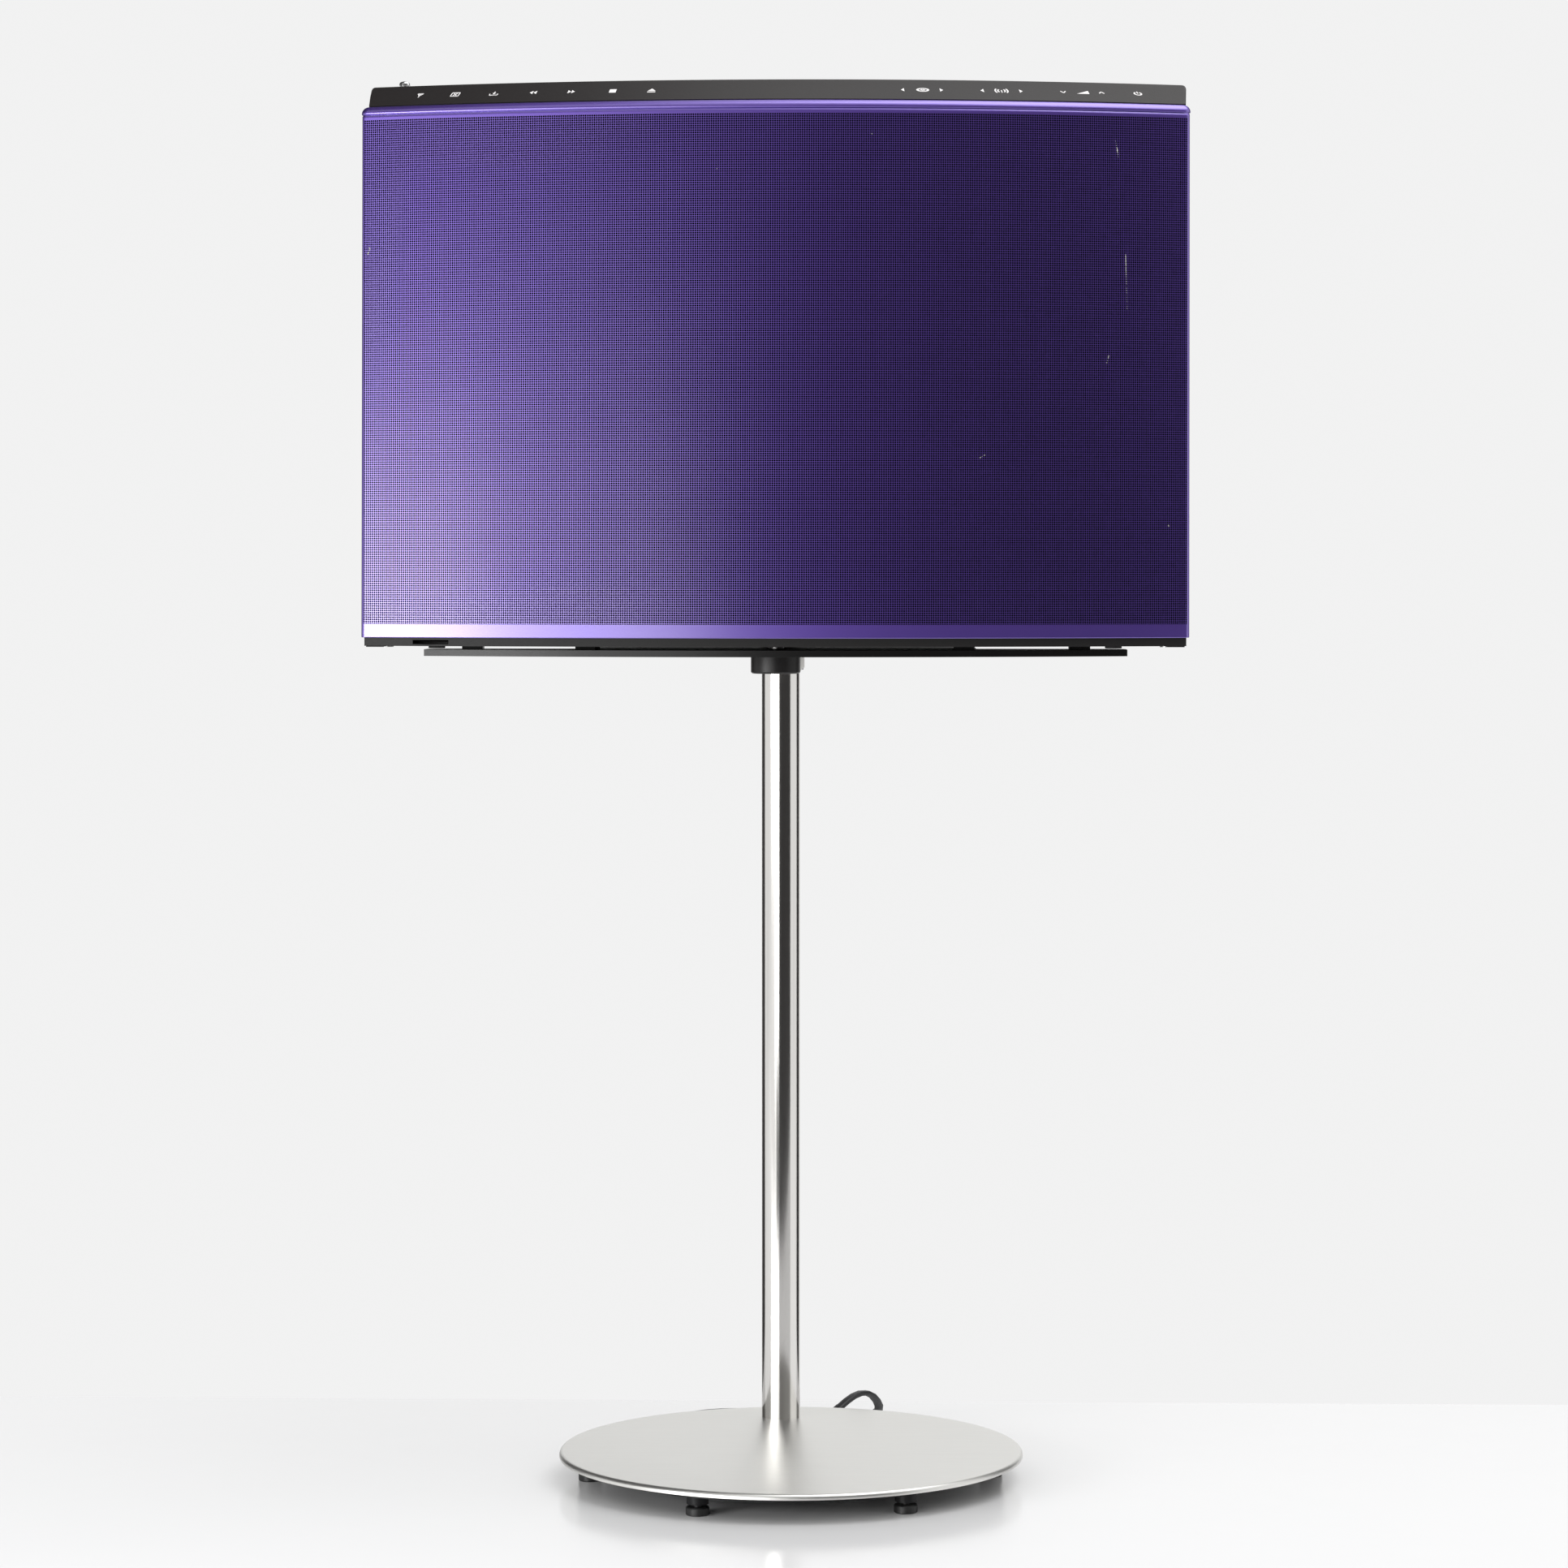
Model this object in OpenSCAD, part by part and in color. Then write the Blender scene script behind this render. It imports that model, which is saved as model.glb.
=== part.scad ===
// Compact music system: a shallow CD and radio cabinet with a bowed perforated front,
// carried on a swivelling plate by a slim pole that stands at the back of a round base.
// Front faces -Y, +Z is up, and the origin is under the centre of the base, on the floor.

/* [Base] */
// Diameter of the round base plate
base_d = 256; // [240:1:300]
// Height of the top of the base plate above the floor
base_top_z = 16.5; // [15:0.5:24]
// Thickness of the metal base plate
base_t = 3.2; // [2.5:0.1:5]
// Radius of the rolled edge of the base plate
base_edge_r = 2.4; // [1:0.1:2.5]
// Diameter of the black ballast plate under the base plate
ballast_d = 236; // [220:1:238]
// Thickness of the ballast plate
ballast_t = 3; // [2:0.1:4]
// Radius of the circle on which the levelling feet stand
foot_circle_r = 111; // [90:1:112]
// Diameter of a levelling foot's pad
foot_pad_d = 12.7; // [8:0.1:14]
// Height of a levelling foot's pad
foot_pad_h = 4.5; // [3:0.1:5]
// Diameter of a levelling foot's screw
foot_screw_d = 4.4; // [3:0.1:6]
// Travel of a levelling foot below its rest height
foot_travel = 3; // [1:0.5:4]

/* [Pole] */
// Diameter of the pole
pole_d = 22; // [18:0.5:26]
// Wall of the pole
pole_wall = 1.5; // [1:0.1:3]
// Distance of the pole's axis from the centre of the base
pole_reach = 97; // [80:1:98]
// Angle by which the base is turned under the cabinet
stand_turn = 5; // [0:0.5:12]
// Clearance between the bearing bush and the ring that turns on it
swivel_gap = 0.06; // [0.03:0.01:0.1]
// Wall of the bearing bush on the pole
bush_wall = 0.8; // [0.6:0.1:1.2]
// Wall of the ring that turns round the bush
ring_wall = 1.6; // [1.4:0.1:3]

/* [Carrier] */
// Height of the underside of the cabinet above the floor
pan_z = 460.4; // [400:0.1:520]
// Gap between the carrier plate and the cabinet
plate_gap = 2.1; // [1.5:0.1:6]
// Thickness of the carrier plate
plate_t = 3.6; // [2:0.1:6]
// Width of the carrier plate
plate_w = 384; // [340:2:400]
// How far the front edge of the carrier plate bows forward
plate_bow = 36; // [20:1:45]
// Distance from the middle of the plate's front edge to the swivel arm's nose
plate_front = 50; // [30:1:55]
// Thickness of the swivel arm
arm_t = 8.5; // [6:0.5:14]
// Diameter of the round nose cap on the front of the arm
nose_d = 27.2; // [24:0.2:34]
// Height of the nose cap
nose_h = 9.8; // [9:0.1:14]
// Distance of a locating peg from the middle
peg_x = 169; // [150:1:175]
// Diameter of a locating peg
peg_d = 6.5; // [4:0.1:8]
// Distance of a rubber pad from the middle
pad_x = 103; // [60:1:120]

/* [Cabinet] */
// Width of the cabinet
unit_w = 450; // [440:1:480]
// Depth of the cabinet at its foot
unit_d = 170; // [165:1:185]
// Distance of the middle of the front ahead of the swivel arm's nose
front_y = 62; // [56:1:70]
// How far the front bows forward over its width
front_bow = 36; // [25:1:45]
// Angle by which the front leans back
front_lean = 3; // [0:0.5:5]
// Height of the perforated front
grille_h = 288.6; // [280:0.2:300]
// Thickness of the front sheet
grille_t = 1.2; // [0.8:0.1:2]
// Bend radius of the front sheet at its sides
grille_bend = 3; // [2.5:0.1:6]
// Depth of the bent sides of the front sheet
grille_return = 18; // [12:1:24]
// Radius of the rolled lip along the top of the front sheet
lip_r = 4; // [3:0.1:4.2]
// Corner radius of the rolled lip
lip_bend = 4.6; // [4.4:0.1:8]
// Height of the bottom pan
pan_h = 4.6; // [4:0.1:8]
// Thickness of the floor of the bottom pan
pan_t = 2.4; // [1.5:0.1:3]
// Wall of the moulded rear cabinet
shell_t = 2.5; // [2:0.1:4]
// Radius of the rounded back in plan
rear_r = 330; // [320:5:400]
// Height of the upright band at the foot of the back
rear_band = 29.6; // [26:0.2:40]
// Angle by which the back leans forward above that band
rear_lean = 14.2; // [8:0.2:15]
// Inset of the control panel from each side
panel_inset = 2.8; // [2:0.1:6]
// Depth of the sloping control panel in plan
panel_run = 23; // [18:0.5:30]
// Height of the sloping control panel
panel_rise = 12.9; // [8:0.1:16]
// Thickness of the control panel
panel_t = 2.5; // [1.5:0.1:4]

/* [Loudspeakers] */
// Angle of a loudspeaker from the middle, round the bowed front
speaker_angle = 10.4; // [10:0.1:12]
// Height of the woofers above the foot of the front
woofer_z = 112; // [90:1:130]
// Height of the tweeters above the foot of the front
tweeter_z = 228; // [215:1:245]
// Outer diameter of a woofer's frame
woofer_d = 116; // [100:1:120]
// Diameter of a woofer's magnet
magnet_d = 76; // [60:1:84]
// Depth of a woofer from its flange to the front of its magnet
woofer_depth = 34; // [30:1:38]
// Outer diameter of a tweeter
tweeter_d = 42; // [36:1:50]
// Distance of the loudspeaker baffle behind the face of the front sheet
baffle_inset = 10; // [8:0.5:14]
// Thickness of the baffle
baffle_t = 5; // [4:0.5:8]

/* [Disc drive] */
// Height of the turntable's axis above the floor, at the face of the back
drive_z = 604; // [598:1:610]
// Width of the lid
lid_w = 136; // [130:1:140]
// Distance from the turntable's axis to the top edge of the lid
lid_top = 68; // [66:1:72]
// Distance from the turntable's axis down to the lid's hinge
hinge_drop = 72; // [70:1:76]
// Radius of the lid's hinge barrel
barrel_r = 4; // [3.5:0.1:4.5]
// Gap round the lid
lid_gap = 0.6; // [0.4:0.1:1]
// Thickness of the lid
lid_t = 2.4; // [1.6:0.1:3]
// Angle to which the lid opens
lid_open = 65; // [45:1:70]
// Diameter of the hinge pins
pin_d = 2.4; // [1.6:0.1:2.6]
// Running clearance of pins, shafts and slides
run_gap = 0.05; // [0.02:0.01:0.1]
// Depth of the disc well behind the face of the back
well_depth = 14; // [13:0.5:18]
// Diameter of the turntable
turntable_d = 30; // [26:1:33]
// Travel of the laser sled
sled_travel = 33; // [25:1:34]
// Diameter of the sled's guide rods
rod_d = 3; // [2:0.1:4]
// Module of the gear teeth
gear_m = 0.7; // [0.6:0.05:0.8]
// Teeth of a pinion
pinion_n = 18; // [18:1:20]
// Teeth that the lid's gear would have all round
sector_n = 54; // [50:1:56]

/* [Handle and aerial] */
// Distance from the turntable's axis up to the handle's pivot
handle_up = 142; // [138:1:146]
// Length of the handle from its pivot to its grip
handle_len = 44; // [38:1:48]
// Distance between the insides of the handle's arms
handle_w = 196; // [140:2:220]
// Diameter of the handle's grip
grip_d = 13; // [10:0.5:16]
// Distance of the aerial from the middle
aerial_x = 205; // [195:1:208]
// Distance of the aerial behind the arm's nose
aerial_y = 20; // [18:1:28]
// Length of an aerial section
aerial_len = 205; // [150:5:220]
// Outer diameter of the aerial's fixed tube
aerial_d = 7; // [6:0.1:8]
// Wall of each aerial tube
aerial_wall = 0.55; // [0.4:0.05:0.6]

/* [Mains lead] */
// Width of the flat two-core lead
lead_w = 5.2; // [4.8:0.1:5.6]
// Thickness of the flat two-core lead
lead_t = 3.2; // [2.8:0.1:3.6]

/* [Hidden] */
$fn = 96;
eps = 0.01;
far = 1000;
ballast_z = base_top_z - base_t - ballast_t;
pole_y = pole_reach * cos(stand_turn);
base_x = pole_reach * sin(stand_turn);
ring_bore_r = pole_d / 2 + bush_wall + swivel_gap;
ring_r = ring_bore_r + ring_wall;
plate_top_z = pan_z - plate_gap;
plate_z = plate_top_z - plate_t;
arm_z = plate_z - arm_t;
pole_top_z = pan_z - 1;
grille_z = pan_z + pan_h;
lip_z = grille_z + grille_h;
panel_top_z = lip_z + panel_rise + 0.2;
front_r = (pow(unit_w / 2, 2) + pow(front_bow, 2)) / (2 * front_bow);
arc_y = front_r - front_y;
seam_y = front_bow - front_y + grille_return;
rear_y = unit_d - front_y;
break_z = pan_z + rear_band;
top_arc_y = arc_y + (grille_h - lip_r) * tan(front_lean);
drive_y = rear_y - (drive_z - break_z) * tan(rear_lean);
cabinet_w = unit_w - 4;
pinion_r = gear_m * pinion_n / 2;
sector_r = gear_m * sector_n / 2;
barrel_z = -barrel_r;
floor_z = -well_depth;
sector_x = lid_w / 2 - 6;
sector_t = 3;
rod_z = floor_z - 7;
rod_y = 14;
sled_x = 15.5;
sled_l = 18;
rack_y = -19;
sled_pinion_x = 29;
woofer_axis_r = front_r - baffle_inset;
route_a = [[18.6, 121.3, 6.5], [22.1, 125.9, 7.1], [25.8, 130.6, 8.8], [29.5, 135.3, 11.2],
    [33.2, 140, 14], [37.1, 144.6, 16.7], [40.9, 149.2, 18.7], [44.8, 153.8, 19.6],
    [48.6, 158.5, 19], [51.7, 163.7, 16.6], [53.9, 169, 13.2], [54.6, 174.5, 9.4],
    [53.6, 179.9, 5.9], [51, 184.6, 3.3], [46.9, 188.2, 2], [41.8, 190.4, 1.7],
    [36.2, 191.2, 1.7], [30, 190.8, 1.7], [22.5, 188.8, 1.7], [14.5, 185.6, 1.7],
    [6, 181.8, 1.7], [-2.5, 178, 1.7], [-11, 174.2, 1.9], [-19.5, 170.6, 2.2],
    [-28, 168.3, 2.6]];
route_b = [[-62.8, 133.5, 6.1], [-62.8, 126.5, 6.1], [-63.1, 122.7, 6.1], [-64.1, 119, 6.1],
    [-65.7, 115.5, 6.1], [-67.9, 112.4, 6.1], [-69.8, 110.4, 6.1], [-72, 108.4, 6.1]];
outlet_turn = 37;
outlet_run = 20;
outlet_l = 10.6;
coil_c = [-28, 133.5];
coil_mean_r = 27;
coil_half_w = 10.4;
coil_z = 1;
coil_h = 2 * lead_t + 0.3;
plug_c = [-82.3, 98.7];
plug_turn = 43;

function deg(r) = r * 180 / PI;
function inv_angle(r, rb) = deg(tan(acos(rb / r))) - acos(rb / r);

// Frames of reference

module leaned() {
    translate([0, 0, grille_z])
        rotate([-front_lean, 0, 0])
            children();
}

module on_back() {
    translate([0, drive_y, drive_z])
        rotate([rear_lean - 90, 0, 0])
            rotate([0, 0, 180])
                children();
}

module on_arc(angle, height, r) {
    leaned()
        translate([0, arc_y, height])
            rotate([0, 0, angle])
                translate([0, -r, 0])
                    rotate([90, 0, 0])
                        children();
}

module both_sides() {
    children();
    mirror([1, 0, 0])
        children();
}

// Outline of the bowed front, with rounded corners and straight sides

function bend_x(w, bend) = w / 2 - bend;
function bend_y(w, r, bend) = -sqrt(pow(r - bend, 2) - pow(bend_x(w, bend), 2));
function bend_angle(w, r, bend) = atan2(bend_x(w, bend), -bend_y(w, r, bend));

// Filled plan of the bowed front, inset by d and running back to y = back
module front_plan(d, back, w = unit_w, bend = grille_bend) {
    kx = bend_x(w, bend);
    ky = bend_y(w, front_r, bend);
    a = bend_angle(w, front_r, bend);
    reach = 2 * bend;
    intersection() {
        circle(front_r - d);
        polygon([[kx, ky], [kx + reach * sin(a), ky - reach * cos(a)], [kx, -far], [-kx, -far],
            [-kx - reach * sin(a), ky - reach * cos(a)], [-kx, ky], [-kx, back], [kx, back]]);
    }
    both_sides() {
        translate([kx, ky])
            circle(bend - d);
        translate([kx - 1, ky])
            square([1 + bend - d, back - ky]);
    }
}

// Gear of n teeth with a tooth centred on the +X axis
module gear_plan(n) {
    r = gear_m * n / 2;
    rb = r * cos(20);
    ra = r + 0.85 * gear_m;
    rr = r - 1.2 * gear_m;
    half = 90 / n - 0.9 / r;
    flank = [for (k = [0:4]) let (q = rb + 0.02 + (ra - rb - 0.02) * k / 4)
        [q, half + inv_angle(r, rb) - inv_angle(q, rb)]];
    foot = [rr, flank[0][1]];
    tooth = concat([foot], flank);
    polygon([for (i = [0:n - 1]) for (s = [-1, 1]) for (k = [0:5])
        let (p = s < 0 ? tooth[k] : tooth[5 - k], t = 360 * i / n + s * p[1])
            [p[0] * cos(t), p[0] * sin(t)]]);
}

module rounded_box(size, r) {
    translate([r, 0, 0])
        cube([size[0] - 2 * r, size[1], size[2]]);
    translate([0, r, 0])
        cube([size[0], size[1] - 2 * r, size[2]]);
    for (x = [r, size[0] - r])
        for (y = [r, size[1] - r])
            translate([x, y, 0])
                cylinder(h = size[2], r = r);
}

// A flat lead swept along points, eight sides, wider than thick
module flat_lead(pts) {
    n = len(pts);
    sides = 8;
    lift = [0, 0, lead_t / 2 - 1.6];
    rings = [for (i = [0:n - 1])
        let (a = pts[max(i - 1, 0)], b = pts[min(i + 1, n - 1)], d = b - a,
            flat = sqrt(d[0] * d[0] + d[1] * d[1]), side = [d[1], -d[0], 0] / flat, up = cross(side, d) / norm(d))
        [for (k = [0:sides - 1]) pts[i] + lift + side * cos(45 * k + 22.5) * lead_w / 2 + up * sin(45 * k + 22.5) * lead_t / 2]];
    polyhedron(
        points = [for (ring = rings) each ring],
        faces = concat(
            [[for (k = [0:sides - 1]) k]],
            [for (i = [0:n - 2]) for (k = [0:sides - 1])
                let (q = (k + 1) % sides)
                [i * sides + k, (i + 1) * sides + k, (i + 1) * sides + q, i * sides + q]],
            [[for (k = [sides - 1:-1:0]) (n - 1) * sides + k]]));
}

// Base

module on_base() {
    translate([base_x, 0, 0])
        rotate([0, 0, stand_turn])
            children();
}

module base_disc() {
    color("silver")
        on_base()
        difference() {
            rotate_extrude()
                union() {
                    translate([0, base_top_z - base_t])
                        square([base_d / 2 - base_edge_r, base_t]);
                    translate([base_d / 2 - 2 * base_edge_r, base_top_z - base_t])
                        square([2 * base_edge_r, base_t - base_edge_r]);
                    translate([base_d / 2 - base_edge_r, base_top_z - base_edge_r])
                        circle(base_edge_r);
                }
            translate([0, pole_reach, 0])
                cylinder(h = base_top_z + 1, d = pole_d);
            translate([-far / 2, -far / 2, base_top_z - base_t - far])
                cube([far, far, far]);
        }
}

module foot_places() {
    for (i = [0:5])
        rotate([0, 0, 60 * i])
            translate([foot_circle_r, 0, 0])
                children();
}

module ballast_plate() {
    boss_h = foot_travel + 1.3;
    color("#151515")
        on_base()
        difference() {
            union() {
                translate([0, 0, ballast_z])
                    cylinder(h = ballast_t, d = ballast_d);
                foot_places()
                    translate([0, 0, ballast_z - boss_h])
                        cylinder(h = boss_h + eps, d = foot_pad_d - 1);
            }
            foot_places()
                cylinder(h = base_top_z, r = foot_screw_d / 2 + run_gap);
            translate([0, pole_reach, 0])
                cylinder(h = base_top_z, d = pole_d - 4);
        }
}

module levelling_foot(i) {
    color("#1c1c1c")
        on_base()
        rotate([0, 0, 60 * (i - 1)])
            translate([foot_circle_r, 0, 0]) {
                cylinder(h = foot_pad_h, d = foot_pad_d);
                cylinder(h = base_top_z - base_t - 0.2, d = foot_screw_d);
            }
}

module pole() {
    color("silver")
        translate([0, pole_y, ballast_z + ballast_t])
            difference() {
                cylinder(h = pole_top_z - 2.4 - ballast_z - ballast_t, d = pole_d);
                translate([0, 0, -1])
                    cylinder(h = far, d = pole_d - 2 * pole_wall);
            }
}

module pole_nut() {
    color("dimgray")
        translate([0, pole_y, ballast_z - 2.2])
            difference() {
                union() {
                    cylinder(h = 2.2, d = pole_d + 4);
                    cylinder(h = 2.2 + ballast_t, d = pole_d - 4);
                    translate([0, 0, 2.2 + ballast_t])
                        cylinder(h = 14, d = pole_d - 2 * pole_wall);
                }
                translate([0, 0, -1])
                    cylinder(h = 40, d = 10);
                rotate([0, 0, -outlet_turn])
                    translate([-4, 0, -1])
                        cube([8, far, 2.4]);
            }
}

module pole_bush() {
    color("#222222")
        translate([0, pole_y, 0])
            difference() {
                union() {
                    translate([0, 0, arm_z - 1.2])
                        cylinder(h = 1.1, r = ring_r - 0.6);
                    translate([0, 0, arm_z - 0.2])
                        cylinder(h = arm_t + 0.4, r = pole_d / 2 + bush_wall);
                }
                cylinder(h = far, d = pole_d);
            }
}

module pole_cap() {
    color("#151515")
        translate([0, pole_y, pole_top_z - 2.4])
            difference() {
                union() {
                    cylinder(h = 1.6, d = pole_d);
                    translate([0, 0, 1.6])
                        cylinder(h = 0.8, d1 = pole_d, d2 = pole_d - 1.6);
                    translate([0, 0, -8])
                        cylinder(h = 8, d = pole_d - 2 * pole_wall);
                }
                translate([0, 0, -9])
                    cylinder(h = 20, d = 8);
            }
}

module lead_in_pole() {
    color("#151515")
        translate([0, pole_y, 0]) {
            translate([0, 0, 6.4])
                cylinder(h = pan_z + 7 - 6.4, d = lead_w);
            translate([0, 0, 6.1 - lead_w / 2])
                cylinder(h = lead_w + 0.6, d = lead_w + 1);
            translate([0, 0, 6.4])
                rotate([0, 0, -outlet_turn])
                    rotate([-90, 0, 0])
                        cylinder(h = outlet_run + outlet_l, d = lead_w);
        }
}

module cable_outlet() {
    color("#111111")
        translate([0, pole_y, 0])
            rotate([0, 0, -outlet_turn])
                difference() {
                    translate([-6, outlet_run, 3.2])
                        cube([12, outlet_l, ballast_z - 3.2]);
                    translate([0, outlet_run - 1, 6.4])
                        rotate([-90, 0, 0])
                            cylinder(h = outlet_l + 2, d = lead_w + 0.2);
                }
}

module mains_lead() {
    color("#111111") {
        flat_lead(route_a);
        flat_lead(route_b);
    }
}

module lead_coil() {
    color("#111111")
        translate([coil_c[0], coil_c[1], coil_z])
            rotate_extrude()
                translate([coil_mean_r - coil_half_w, 0])
                    union() {
                        translate([lead_t / 2, 0])
                            square([2 * coil_half_w - lead_t, coil_h]);
                        translate([0, lead_t / 2])
                            square([2 * coil_half_w, coil_h - lead_t]);
                        for (x = [lead_t / 2, 2 * coil_half_w - lead_t / 2])
                            for (y = [lead_t / 2, coil_h - lead_t / 2])
                                translate([x, y])
                                    circle(lead_t / 2);
                    }
}

module cable_tie() {
    color("#2a2a2a")
        translate([coil_c[0], coil_c[1], coil_z])
            rotate([0, 0, 20])
                translate([coil_mean_r, -2, 0])
                    difference() {
                        translate([-coil_half_w - 1, 0, -coil_z])
                            cube([2 * coil_half_w + 2, 4, coil_h + 2 * coil_z]);
                        translate([-coil_half_w - 0.2, -1, -0.1])
                            cube([2 * coil_half_w + 0.4, 6, coil_h + 0.2]);
                    }
}

module mains_plug() {
    color("#161616")
        translate([plug_c[0], plug_c[1], 0])
            rotate([0, 0, plug_turn]) {
                translate([-16, -12, 0])
                    rounded_box([26, 24, 11], 5);
                translate([9, -5, 1.9])
                    cube([5, 10, 8.4]);
            }
    color("silver")
        translate([plug_c[0], plug_c[1], 5.5])
            rotate([0, 0, plug_turn])
                for (y = [-9.3, 9.3])
                    translate([-15.9, y * 0.95, 0])
                        rotate([0, -90, 0])
                            cylinder(h = 19, d = 4);
}

// Carrier

module swivel_arm() {
    color("silver")
        difference() {
            union() {
                translate([0, pole_y, arm_z])
                    cylinder(h = arm_t, r = ring_r);
                translate([-ring_r, 0, arm_z])
                    cube([2 * ring_r, pole_y, arm_t]);
                translate([0, 0, arm_z])
                    cylinder(h = arm_t, r = ring_r - 2);
            }
            translate([0, pole_y, 0])
                cylinder(h = far, r = ring_bore_r);
            for (y = [22, 66])
                translate([0, y, plate_z - 6])
                    cylinder(h = 7, d = 4);
        }
}

module arm_nose_cap() {
    color("#131313")
        translate([0, 0, plate_z - nose_h])
            difference() {
                union() {
                    cylinder(h = 0.8, d1 = nose_d - 1.6, d2 = nose_d);
                    translate([0, 0, 0.8])
                        cylinder(h = nose_h - 0.8, d = nose_d);
                }
                translate([0, 0, nose_h - arm_t])
                    cylinder(h = arm_t + 1, r = ring_r - 2);
                translate([-far / 2, 0, nose_h - arm_t])
                    cube([far, far, arm_t + 1]);
            }
}

module plate_plan() {
    r = (pow(plate_w / 2, 2) + pow(plate_bow, 2)) / (2 * plate_bow);
    intersection() {
        translate([0, r - plate_front])
            circle(r);
        union() {
            translate([-plate_w / 2, -far])
                square([plate_w, far + 4]);
            translate([-plate_w / 2 + 10, 0])
                square([plate_w - 20, 14]);
            for (x = [-1, 1])
                translate([x * (plate_w / 2 - 10), 4])
                    circle(10);
            translate([-110, 0])
                square([220, 76]);
        }
    }
}

module carrier_plate() {
    color("#161616")
        translate([0, 0, plate_z])
            difference() {
                linear_extrude(plate_t)
                    plate_plan();
                for (y = [22, 66])
                    translate([0, y, -1])
                        cylinder(h = plate_t + 2, d = 4.2);
                for (x = [-peg_x, peg_x])
                    translate([x, -2, -1])
                        cylinder(h = plate_t + 2, d = peg_d);
            }
}

module plate_screws() {
    color("dimgray")
        for (y = [22, 66])
            translate([0, y, 0]) {
                translate([0, 0, plate_z - 6])
                    cylinder(h = 6 + plate_t, d = 4);
                translate([0, 0, plate_top_z])
                    cylinder(h = 1.6, d = 8);
            }
}

module plate_pads() {
    color("#0d0d0d")
        for (x = [-pad_x, pad_x])
            translate([x - 5.35, -24, plate_top_z])
                cube([10.7, 40, plate_gap]);
}

module locating_pegs() {
    color("#1c1c1c")
        both_sides() {
            translate([peg_x, -2, plate_z])
                cylinder(h = plate_t + plate_gap + 6, d = peg_d);
            translate([peg_x - 8.6, -7, plate_top_z])
                cube([11, 10, plate_gap]);
        }
}

// Cabinet

// Plan of the rounded back, inset by d
module rear_plan(d, w) {
    intersection() {
        translate([0, rear_y - rear_r])
            circle(rear_r - d);
        translate([-w / 2 + d, seam_y])
            square([w - 2 * d, far]);
    }
}

// Outer form of the moulded back, inset by d, before its front is cut
module rear_form(d) {
    c = 8 - 0.6 * d;
    corner = [[d, 0], [d, panel_top_z - c], [d + 0.15 * c, panel_top_z - d - 0.5 * c],
        [d + 0.5 * c, panel_top_z - d - 0.15 * c], [c + 0.6 * d, panel_top_z - d]];
    intersection() {
        translate([0, 0, grille_z])
            linear_extrude(panel_top_z - d - grille_z)
                intersection() {
                    translate([0, rear_y - rear_r])
                        circle(rear_r - d);
                    translate([-cabinet_w / 2 + d, -front_y])
                        square([cabinet_w - 2 * d, far]);
                }
        rotate([90, 0, 90])
            translate([0, 0, -far / 2])
                linear_extrude(far)
                    polygon([[-front_y, 0], [rear_y - d, 0], [rear_y - d, break_z],
                        [rear_y - d - far * tan(rear_lean), break_z + far], [-far, break_z + far], [-far, 0]]);
        translate([0, far / 2, 0])
            rotate([90, 0, 0])
                linear_extrude(far)
                    polygon([for (s = [-1, 1]) for (k = [0:4])
                        let (q = corner[s < 0 ? k : 4 - k])
                        [s * (cabinet_w / 2 - q[0]), q[1]]]);
    }
}

module behind_seam() {
    leaned()
        translate([-far / 2, seam_y, -far / 2])
            cube([far, far, far]);
}

module speaker_ports() {
    both_sides()
        translate([165, 0, grille_z + 42])
            rotate([-90, 0, 0])
                children();
}

module rear_cabinet() {
    color("#1a1a1c")
        difference() {
            union() {
                difference() {
                    intersection() {
                        rear_form(0);
                        behind_seam();
                    }
                    translate([0, 0, -shell_t])
                        rear_form(shell_t);
                    rear_form(shell_t);
                }
                translate([0, 0, panel_top_z - shell_t])
                    linear_extrude(shell_t)
                        intersection() {
                            translate([0, top_arc_y])
                                circle(front_r - panel_run - 4.8);
                            translate([-cabinet_w / 2 + 8, -front_y])
                                square([cabinet_w - 16, front_y + seam_y + 19]);
                        }
                screw_places()
                    translate([0, 0, pan_z + pan_t])
                        cylinder(h = 14, r = 4.2);
                both_sides() {
                    translate([216, 3, grille_z])
                        cube([5.5, 2, 10]);
                    translate([119, 79, grille_z])
                        cube([2, 5, 10]);
                }
                on_back()
                    both_sides()
                        translate([handle_w / 2 + 5.5, handle_up, -1]) {
                            difference() {
                                union() {
                                    cylinder_x(6, 7.5, 8);
                                    translate([0, -7.5, 0])
                                        cube([6, 15, 8]);
                                }
                                cylinder_x(7, 2.4 + run_gap, 8);
                            }
                        }
            }
            screw_places()
                translate([0, 0, pan_z])
                    cylinder(h = 12, d = 3.4);
            translate([0, top_arc_y, lip_z])
                rotate([0, 0, 270 - 20])
                    rotate_extrude(angle = 40)
                        translate([front_r, 0])
                            polygon([[-panel_run - 4.7, 100], [-panel_run - 4.7, panel_rise - panel_t - 0.3],
                                [-5, -panel_t - 0.3], [20, -panel_t - 0.3], [20, 100]]);
            on_back()
                translate([-lid_w / 2 - lid_gap, -hinge_drop - barrel_r - lid_gap, -shell_t - 1])
                    cube([lid_w + 2 * lid_gap, hinge_drop + barrel_r + lid_top + 2 * lid_gap, shell_t + 2]);
            translate([-56.2, rear_y - 12, pan_z + 7.8])
                cube([112.4, 20, 21.2]);
            speaker_ports()
                cylinder(h = far, d = 40.2);
            translate([-aerial_x, aerial_y, panel_top_z - 10])
                cylinder(h = 20, r = aerial_d / 2 + 0.05);
        }
}

// The four screws that hold the bottom pan to the bosses of the back
module screw_places() {
    for (x = [-1, 1]) {
        translate([x * 214, 4, 0])
            children();
        translate([x * 120, 77, 0])
            children();
    }
}

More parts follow.
